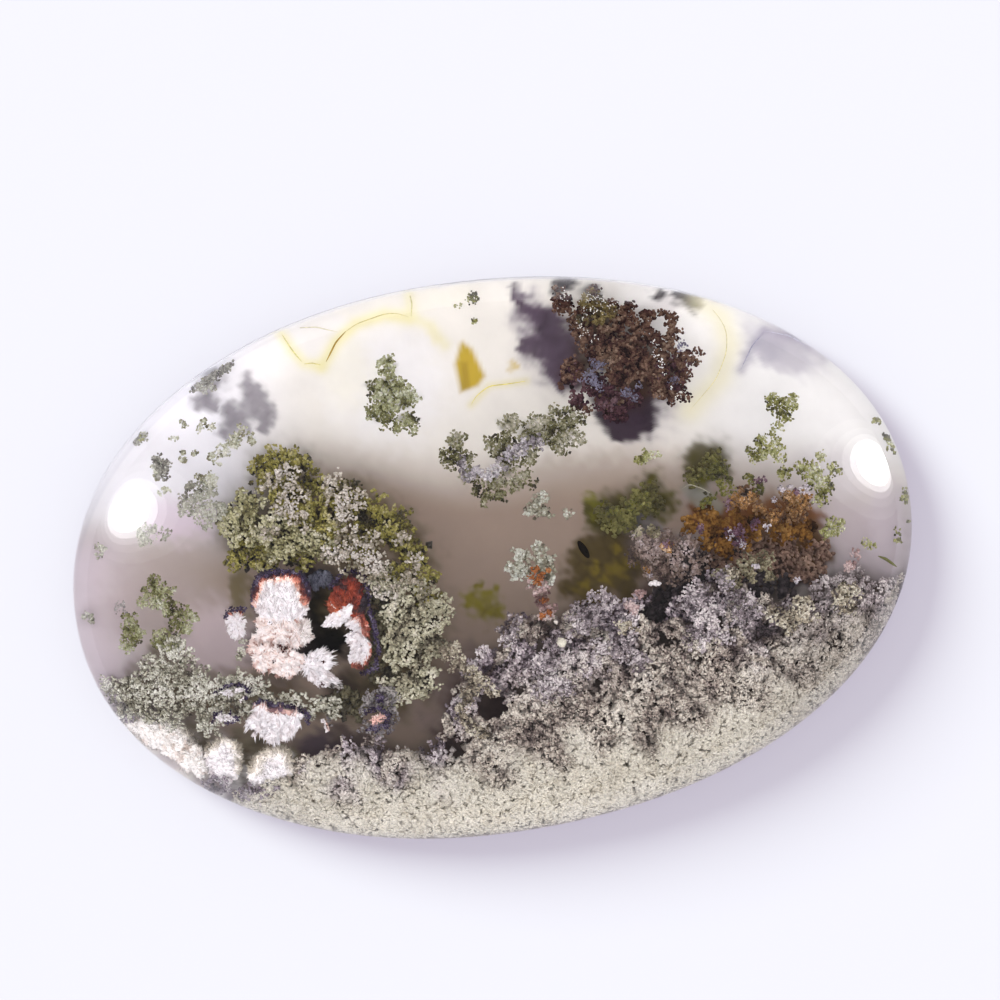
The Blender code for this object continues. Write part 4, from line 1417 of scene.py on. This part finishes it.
# %% Outlines, roots, and the lines of burnt tips and painted shade of the plumes
FAN_TIPS = shades(
    (36, 30, 56), (44, 32, 58), (60, 30, 46), (98, 38, 38), (142, 62, 48), (216, 152, 130), (244, 226, 220),
    (252, 244, 244))
FLAME_TIPS = shades(
    (24, 20, 42), (42, 22, 34), (78, 27, 22), (124, 42, 24), (152, 60, 32), (176, 90, 58), (206, 148, 124))
RIM_TIPS = shades((30, 24, 50), (58, 26, 36), (112, 44, 32), (176, 96, 76), (244, 222, 216))
FRINGE_TIPS = shades((40, 34, 62), (110, 80, 84), (222, 186, 176))
BLUSH_TIPS = shades((206, 160, 148), (236, 204, 196), (248, 230, 224))
ROSE_TIPS = shades((196, 156, 158), (236, 194, 184), (246, 220, 212))
WHITE_PLUME = shades((216, 204, 206), (243, 236, 239), (252, 248, 252))
PINK_PLUME = shades((168, 130, 120), (226, 199, 191), (243, 226, 221), (250, 241, 240))
CLOUD_PLUME = shades((206, 190, 186), (242, 233, 230), (252, 246, 245))
CREAM_PLUME = shades((212, 197, 188), (236, 224, 217), (247, 240, 236), (252, 248, 246))
SNOW_PLUME = shades((218, 208, 211), (242, 235, 238), (250, 246, 249))
SLATE_PLUME = shades((44, 46, 56), (72, 74, 90), (104, 106, 122))
# The billows turn olive-grey along their tops: painted shade
BILLOW_SHADE_TIPS = shades((148, 139, 124), (182, 173, 160), (214, 207, 199), (246, 241, 240))
BILLOW = dict(length=9, width=1.1, spread=0.5, slope=0.3, tuft=8, tips=BILLOW_SHADE_TIPS)

# Outline, roots, depth in millimetres, colours and further values
PLUMES = [
    ([(257, 611), (253, 600), (254, 584), (261, 574), (276, 571), (290, 571), (301, 574), (308, 583),
      (310, 596), (306, 612), (300, 617), (290, 621), (276, 620), (262, 617)],
     [(271, 630), (290, 628)], 0.75, WHITE_PLUME,
     dict(length=11, tips=FAN_TIPS,
          burnt=([(249, 592), (251, 582), (257, 573), (268, 570), (290, 570), (302, 573), (309, 584),
                  (311, 594)], 14))),
    ([(256, 620), (264, 617), (278, 621), (292, 620), (300, 622), (303, 634), (300, 647), (288, 648),
      (276, 645), (262, 643), (253, 640), (253, 630)],
     [(282, 634), (296, 630)], 0.7, PINK_PLUME,
     dict(length=8, tuft=5)),
    ([(298, 620), (304, 617), (310, 621), (313, 629), (313, 638), (308, 645), (300, 649), (294, 644),
      (292, 630)],
     [(300, 636)], 0.8, CLOUD_PLUME,
     dict(length=7, tuft=5)),
    ([(253, 641), (264, 643), (278, 647), (290, 650), (300, 651), (305, 657), (303, 667), (297, 674),
      (288, 679), (280, 677), (268, 674), (257, 670), (250, 662), (247, 652)],
     [(264, 654), (278, 656), (290, 660)], 0.6, PINK_PLUME,
     dict(length=9, tuft=5, tips=BLUSH_TIPS, burnt=([(245, 643), (244, 655), (247, 664), (256, 672)], 7))),
    ([(304, 656), (310, 650), (318, 648), (326, 647), (332, 650), (336, 655), (335, 661), (342, 663),
      (335, 667), (332, 675), (338, 680), (330, 683), (322, 685), (312, 682), (304, 678), (302, 668)],
     [(309, 664)], 0.65, WHITE_PLUME,
     dict(length=13, width=0.8, spacing=1.9, spread=0.14, tuft=4.5, slope=0.1, ragged=8)),
    ([(228, 613), (234, 611), (241, 612), (245, 618), (246, 628), (244, 636), (239, 641), (232, 639),
      (227, 630), (226, 620)],
     [(236, 620)], 1.0, WHITE_PLUME,
     dict(length=6, ragged=3, tips=RIM_TIPS, burnt=([(225, 612), (231, 607), (240, 607), (246, 611)], 6))),
    ([(327, 602), (330, 596), (333, 590), (337, 583), (342, 577), (349, 573), (356, 574), (361, 579),
      (364, 587), (365, 598), (365, 607), (362, 614), (356, 613), (351, 609), (346, 606), (340, 609),
      (334, 611), (328, 608)],
     [(342, 616), (352, 616)], 0.95, CLOUD_PLUME,
     dict(length=9, width=0.7, tips=FLAME_TIPS,
          burnt=([(334, 574), (348, 566), (362, 569), (371, 580), (373, 598), (372, 614)], 40))),
    ([(323, 628), (326, 621), (332, 615), (338, 612), (344, 608), (350, 607), (351, 615), (347, 620),
      (340, 624), (332, 628)],
     [(352, 604)], 0.9, WHITE_PLUME,
     dict(length=9, spread=0.2)),
    ([(346, 622), (352, 618), (360, 617), (366, 622), (369, 630), (371, 640), (362, 637), (355, 633),
      (348, 628)],
     [(362, 612)], 0.95, WHITE_PLUME,
     dict(length=7, tips=RIM_TIPS, burnt=([(362, 608), (374, 622), (378, 640)], 14))),
    ([(344, 640), (349, 635), (356, 633), (364, 636), (370, 642), (372, 652), (368, 663), (361, 669),
      (355, 666), (350, 660), (352, 652), (351, 644)],
     [(366, 640)], 0.9, WHITE_PLUME,
     dict(length=7, tips=RIM_TIPS,
          burnt=([(375, 632), (379, 645), (377, 660), (367, 673), (354, 673)], 10))),
    ([(252, 710), (256, 704), (263, 705), (271, 711), (288, 713), (302, 714), (301, 725), (302, 731),
      (294, 734), (287, 739), (280, 744), (272, 745), (264, 739), (256, 736), (247, 730), (245, 722),
      (250, 717)],
     [(264, 704), (280, 708), (296, 712)], 0.55, WHITE_PLUME,
     dict(length=12, width=0.8, spread=0.14, ragged=9, tips=FRINGE_TIPS,
          burnt=([(250, 704), (256, 699), (264, 701), (272, 707), (290, 709), (307, 709), (308, 724)], 6))),
    ([(219, 692), (226, 690), (236, 689), (245, 687), (244, 691), (236, 694), (230, 697), (222, 695)],
     [(232, 690)], 0.5, WHITE_PLUME,
     dict(length=4, ragged=2)),
    ([(238, 701), (243, 696), (245, 698), (241, 703)],
     [(240, 700)], 0.5, WHITE_PLUME,
     dict(length=3, ragged=1)),
    ([(214, 717), (220, 713), (228, 715), (236, 718), (240, 720), (236, 722), (226, 722), (217, 720)],
     [(222, 716)], 0.5, WHITE_PLUME,
     dict(length=4, ragged=2)),
    ([(320, 718), (324, 719), (328, 725), (330, 731), (328, 735), (325, 732), (323, 725)],
     [(322, 720)], 0.6, WHITE_PLUME,
     dict(length=4, ragged=1, tips=RIM_TIPS, burnt=([(331, 722), (335, 731), (330, 740)], 6))),
    ([(369, 721), (372, 716), (378, 713), (385, 713), (387, 717), (383, 722), (376, 725), (370, 725)],
     [(377, 720)], 0.8, PINK_PLUME,
     dict(length=4, ragged=2, tips=ROSE_TIPS, burnt=([(368, 728), (384, 726), (391, 714)], 14))),
    ([(306, 580), (316, 573), (328, 574), (334, 580), (328, 587), (316, 589)],
     [(318, 566)], 1.9, SLATE_PLUME,
     dict(length=8, spacing=1.6)),
    ([(114, 712), (126, 706), (142, 712), (160, 716), (178, 724), (192, 736), (203, 752), (208, 770),
      (202, 780), (186, 770), (166, 756), (148, 744), (130, 730)],
     [(130, 720), (146, 732), (164, 738), (176, 752), (194, 766)], 1.3, CREAM_PLUME,
     dict(burnt=([(112, 704), (136, 702), (160, 708), (184, 718), (202, 738)], 13), **BILLOW)),
    ([(205, 766), (205, 752), (212, 742), (224, 736), (236, 740), (242, 750), (242, 768), (238, 780),
      (228, 785), (214, 780)],
     [(218, 754), (228, 770), (234, 752)], 1.2, SNOW_PLUME,
     dict(burnt=([(206, 744), (220, 732), (236, 735), (246, 752), (246, 770)], 13), **BILLOW)),
    ([(247, 780), (246, 768), (252, 756), (264, 748), (278, 745), (290, 750), (295, 762), (292, 774),
      (280, 782), (266, 788), (254, 788)],
     [(258, 772), (272, 774), (282, 762)], 1.2, SNOW_PLUME,
     dict(burnt=([(248, 764), (256, 750), (272, 743), (290, 745), (299, 762)], 16), **BILLOW)),
]
PLUME_GROUPS = {"plume_white": (0, 4, 5, 10), "plume_pink": (1, 2, 3), "plume_red": (6, 7, 8, 9),
                "plume_slivers": (11, 12, 13, 14, 15, 16), "plume_billows": (17, 18, 19)}

# Fibres are plain silk: their own tint, a little uneven, with a matt sheen
FIBRE_SEED = 181
BED_SEED = 221
plume, *_ = tinted_material("plume", scale=4000.0, detail=3.0, darkest=0.93, palest=1.03, roughness=0.7)
for name, numbers in PLUME_GROUPS.items():
    sheaves = [plume_fibres(*PLUMES[i][:4], FIBRE_SEED + i, **PLUMES[i][4]) for i in numbers]
    fibre_piece(name, sheaves, plume)
beds = [plume_bed(*values[:4], BED_SEED + number, **values[4]) for number, values in enumerate(PLUMES)]
grain_piece("plume_beds", beds, plume, 240)

# %% Indigo border and dark pits
INDIGO_EDGE = (
    string_of(1.1, 2.0, (253, 606), (253, 592), (258, 578), (270, 572), (284, 571), (300, 574), (308, 592))
    + string_of(1.2, 2.1, (332, 588), (338, 576), (350, 569), (362, 573), (368, 590), (369, 608),
        (375, 628), (378, 650), (375, 668), (362, 674))
    + string_of(0.6, 1.3, (216, 693), (225, 686), (242, 685), (249, 690), (246, 698))
    + string_of(0.6, 1.2, (213, 721), (216, 713), (228, 712), (239, 719), (226, 724))
    + string_of(0.7, 2.5, (256, 702), (270, 705), (290, 707), (306, 712), (308, 722))
    + string_of(0.8, 2.2, (366, 712), (378, 708), (388, 714), (385, 726), (370, 730))
    + at_depth(0.8, (380, 698, 4))
    + string_of(1.2, 2.5, (226, 618), (230, 610), (244, 610)))
SLATE_CRUMBS = (
    string_of(1.0, 4, (366, 700), (372, 693), (382, 690), (392, 693), (394, 700), (384, 705))
    + string_of(1.0, 3, (361, 712), (370, 705), (384, 703), (393, 709), (394, 721), (386, 732), (366, 732))
    + at_depth(1.0, (338, 684, 5), (332, 722, 4), (384, 724, 5), (366, 722, 4)))
PITS = at_depth(
    0.4, (280, 647, 2.4), (284, 650, 1.8), (274, 662, 2), (270, 622, 1.2), (323, 661, 1.5), (322, 685, 2),
    (340, 610, 2))
INDIGO_COLOURS = shades((36, 28, 46), (58, 48, 70), (88, 78, 104), (140, 131, 152))
PIT_COLOURS = shades((40, 20, 20), (84, 44, 40))

grain_piece("plume_border", [
    moss_patch(INDIGO_EDGE, INDIGO_COLOURS, 191, spacing=2.0, count=5, width=1.8, size=1.0, head=6, cleft=3,
               ragged=0.1),
    moss_patch(SLATE_CRUMBS, SLATE_COLOURS, 194, spacing=4, size=1.5),
    moss_patch(PITS, PIT_COLOURS, 197, spacing=2, count=3, width=1.6, size=0.9)], dark_moss, 200)

# %% [markdown]
# ## Threads
#
# Fine yellow iron veins run through the cream part, with a few dark slivers. Each is a smooth thread that
# tapers to both ends.

# %% Threads
THREAD_ROWS = 48
THREAD_SIDES = 6
THREAD_END = 0.004
SMOOTHINGS = 12


def smooth_path(corners, rows):
    """Points evenly spaced through the corners, then averaged with their neighbours to round the bends."""
    corners = np.array(corners, float)
    reach = np.concatenate([[0], np.cumsum(np.hypot(*np.diff(corners, axis=0).T))])
    steps = np.linspace(0, reach[-1], rows)
    path = np.stack([np.interp(steps, reach, corners[:, i]) for i in range(2)], -1)
    for _ in range(SMOOTHINGS):
        path[1:-1] = (path[:-2] + 2 * path[1:-1] + path[2:]) / 4
    return path


def thread(corners, width, depth, colour):
    """A tube round the path. Its radius is width x sqrt(sin(pi t)), so both ends close in a point."""
    path = smooth_path(corners, THREAD_ROWS)
    axis, _ = look_into(path[:, 0], path[:, 1], depth=depth * MM)
    way = np.gradient(axis, axis=0)
    side = np.cross(way, [0, 0, 1])
    side /= np.linalg.norm(side, axis=1, keepdims=True)
    above = np.cross(side, way)
    above /= np.linalg.norm(above, axis=1, keepdims=True)
    t = np.linspace(THREAD_END, 1 - THREAD_END, THREAD_ROWS)
    radius = width / 2 * PIXEL * np.sqrt(np.sin(np.pi * t))
    angle = 2 * np.pi * np.arange(THREAD_SIDES) / THREAD_SIDES
    ring = np.cos(angle)[:, None] * side[:, None] + np.sin(angle)[:, None] * above[:, None]
    points = axis[:, None] + radius[:, None, None] * ring
    return np.concatenate([points.reshape(-1, 3), axis[:1], axis[-1:]]), light_value(*colour)


def thread_piece(name, threads, material):
    """All threads in one mesh, with closed ends."""
    points, tints = zip(*(thread(*values) for values in threads))
    size = len(points[0])
    last = (THREAD_ROWS - 1) * THREAD_SIDES
    grid, ring = grid_faces(THREAD_ROWS, THREAD_SIDES)[:, ::-1], np.arange(THREAD_SIDES)
    caps = np.concatenate([fan_faces(size - 2, ring), fan_faces(size - 1, last + ring, flip=True)])
    shift = size * np.arange(len(points))[:, None, None]
    faces = [(part[None] + shift).reshape(-1, part.shape[1]) for part in (grid, caps)]
    return new_piece(name, np.concatenate(points), faces, material, np.repeat(np.stack(tints), size, axis=0))


# Corners, width in pixels, depth in millimetres and colour
THREADS = [
    ([(326, 362), (336, 342), (346, 331)], 1.8, 1.6, (168, 142, 60)),
    ([(344, 333), (356, 324), (384, 314), (396, 313), (409, 317)], 1.0, 1.6, (210, 198, 130)),
    ([(281, 333), (292, 350), (302, 362)], 1.6, 1.6, (222, 214, 150)),
    ([(304, 364), (312, 363), (321, 365)], 1.2, 1.6, (216, 206, 140)),
    ([(409, 292), (412, 304), (411, 317)], 1.4, 1.6, (222, 214, 160)),
    ([(296, 328), (316, 327), (337, 332)], 1.2, 1.6, (226, 220, 190)),
    ([(471, 405), (476, 396), (489, 386), (508, 384), (526, 381)], 1.0, 1.4, (220, 208, 110)),
    ([(700, 300), (716, 312), (727, 330), (727, 352), (716, 380), (690, 410)], 0.8, 2.0, (214, 204, 150)),
    ([(878, 556), (886, 559), (897, 567)], 3.0, 0.9, (104, 104, 64)),
    ([(682, 489), (689, 484), (701, 488), (712, 494)], 0.9, 1.0, (168, 164, 146)),
    ([(765, 331), (752, 346), (741, 369)], 1.2, 2.0, (160, 160, 178)),
    ([(765, 331), (790, 336), (822, 355)], 1.0, 1.4, (184, 182, 200)),
    ([(578, 541), (582, 547), (589, 558)], 7.0, 0.8, (14, 9, 6)),
]
vein = moss_material("vein", 0.5, gloss=0.0)
thread_piece("veins", THREADS, vein)

# %% [markdown]
# ## Table and light
#
# A plain pale table under soft white light. The stone's light comes from a pale room that is brighter
# overhead than at the sides. A low soft sun throws the stone's shadow on the table, and the table glows a
# little, which keeps the shadow pale. Two soft boxes show as the bright marks on the dome's left and right
# shoulders.

# %% Table
TABLE_HALF = 0.6
TABLE_GAP = 0.02 * MM
TABLE_COLOUR = (0.0713, 0.0789, 0.0742, 1)
TABLE_GLOW = (0.42, 0.37, 0.47, 1)
TABLE_ROUGHNESS = 0.8
TABLE_SHEEN = 0.2

paper, tree, shader = new_material("pale_table")
shader.inputs["Base Color"].default_value = TABLE_COLOUR
shader.inputs["Emission Color"].default_value = TABLE_GLOW
shader.inputs["Emission Strength"].default_value = 1.0
shader.inputs["Roughness"].default_value = TABLE_ROUGHNESS
shader.inputs["Specular IOR Level"].default_value = TABLE_SHEEN
corners = np.array([[-1, -1], [1, -1], [1, 1], [-1, 1]]) * TABLE_HALF
table_mesh = bpy.data.meshes.new("table")
table_mesh.from_pydata([(x, y, -TABLE_GAP) for x, y in corners], [], [(0, 1, 2, 3)])
table_mesh.materials.append(paper)
table = bpy.data.objects.new("table", table_mesh)
bpy.context.scene.collection.objects.link(table)
print(f"table {2 * TABLE_HALF:.1f} m square, {TABLE_GAP / MM:.2f} mm under the stone")

# %% Light from all round
ROOM_COLOUR = np.array([0.985, 0.965, 1.0])
ROOM_STRENGTH = 3.1
# Height of the direction from level to overhead, and the share of the room's strength there
ROOM_LEVELS = [(0.0, 0.33), (0.30, 0.62), (0.55, 0.95), (0.75, 1.0), (1.0, 0.9)]
# A dark screen round the camera keeps the room out of the polish, so mirrored rays meet this share of it
SCREENED = 0.07

world = bpy.data.worlds.new("soft_room")
world.use_nodes = True
sky = world.node_tree.nodes["Background"]
direction = add_node(world.node_tree, "ShaderNodeTexCoord")
parts = add_node(world.node_tree, "ShaderNodeSeparateXYZ")
levels = add_node(world.node_tree, "ShaderNodeValToRGB")
stops = levels.color_ramp.elements
for position, share in ROOM_LEVELS:
    stop = stops[0] if position == 0 else stops[len(stops) - 1] if position == 1 else stops.new(position)
    stop.color = (*(share * ROOM_COLOUR), 1)
rays = add_node(world.node_tree, "ShaderNodeLightPath")
mirrored = add_node(world.node_tree, "ShaderNodeMath", operation="MULTIPLY")
strength = add_node(world.node_tree, "ShaderNodeMath", operation="MULTIPLY_ADD")
strength.inputs[1].default_value = (SCREENED - 1) * ROOM_STRENGTH
strength.inputs[2].default_value = ROOM_STRENGTH
world.node_tree.links.new(rays.outputs["Is Reflection Ray"], mirrored.inputs[0])
world.node_tree.links.new(rays.outputs["Is Glossy Ray"], mirrored.inputs[1])
world.node_tree.links.new(mirrored.outputs[0], strength.inputs[0])
world.node_tree.links.new(strength.outputs[0], sky.inputs["Strength"])
world.node_tree.links.new(direction.outputs["Generated"], parts.inputs["Vector"])
world.node_tree.links.new(parts.outputs["Z"], levels.inputs["Fac"])
world.node_tree.links.new(levels.outputs["Color"], sky.inputs["Color"])
bpy.context.scene.world = world
bpy.context.scene.view_settings.view_transform = "Standard"
print(f"room of strength {ROOM_STRENGTH}, {100 * SCREENED:.0f} percent of it in the polish")

# %% Daylight on the table
DAYLIGHT = 26.3
DAYLIGHT_SPREAD = 26
DAYLIGHT_TILT = 57
DAYLIGHT_FROM = 134
DAYLIGHT_COLOUR = (0.985, 0.98, 1.0)

lamp = bpy.data.lights.new("daylight", "SUN")
lamp.energy = DAYLIGHT
lamp.color = DAYLIGHT_COLOUR
lamp.angle = math.radians(DAYLIGHT_SPREAD)
sun = bpy.data.objects.new("daylight", lamp)
bpy.context.scene.collection.objects.link(sun)
sun.matrix_world = (Matrix.Rotation(math.radians(DAYLIGHT_FROM - 90), 4, "Z")
                    @ Matrix.Rotation(math.radians(-DAYLIGHT_TILT), 4, "X"))
sun.visible_glossy = False
sun.visible_transmission = False
print(f"sun {90 - DAYLIGHT_TILT} degrees up, {DAYLIGHT_SPREAD} degrees wide")

# %% Soft boxes
BOX_DISTANCE = 400 * MM
# Name, picture point of the highlight, width and height in metres, turn in degrees
BOXES = [("left", 126, 511, 0.12, 0.3, -8), ("right", 876, 464, 0.125, 0.29, 0)]
# Each box is a stack of ovals, brightest in the middle: size and power in watts
BOX_STACK = [(0.7, 1.2), (0.9, 0.5), (1.1, 0.25), (1.35, 0.16), (1.7, 0.12)]


def soft_box(name, px, py, wide, tall, turn, power):
    """An oval light placed so that the polish mirrors it at a picture point: way - 2 (way . n) n."""
    way = sight_lines(np.array([px]), np.array([py]))
    entry = meet_dome(way)
    normal = dome_normal(entry[:, 0], entry[:, 1])
    mirrored = (way - 2 * (way * normal).sum(-1, keepdims=True) * normal)[0]
    lamp = bpy.data.lights.new(name, "AREA")
    lamp.shape = "ELLIPSE"
    lamp.size, lamp.size_y = wide, tall
    lamp.energy = power
    box = bpy.data.objects.new(name, lamp)
    bpy.context.scene.collection.objects.link(box)
    facing = Vector(mirrored).to_track_quat("Z", "Y").to_matrix()
    turned = facing @ Matrix.Rotation(math.radians(turn), 3, "Z")
    place = Vector(entry[0] + BOX_DISTANCE * mirrored)
    box.matrix_world = Matrix.Translation(place) @ turned.to_4x4()
    box.visible_diffuse = False
    box.visible_transmission = False
    print(name, "stands at", [round(value, 2) for value in place], "m")


for name, px, py, wide, tall, turn in BOXES:
    for size, power in BOX_STACK:
        soft_box(f"soft_box_{name}", px, py, size * wide, size * tall, turn, power)
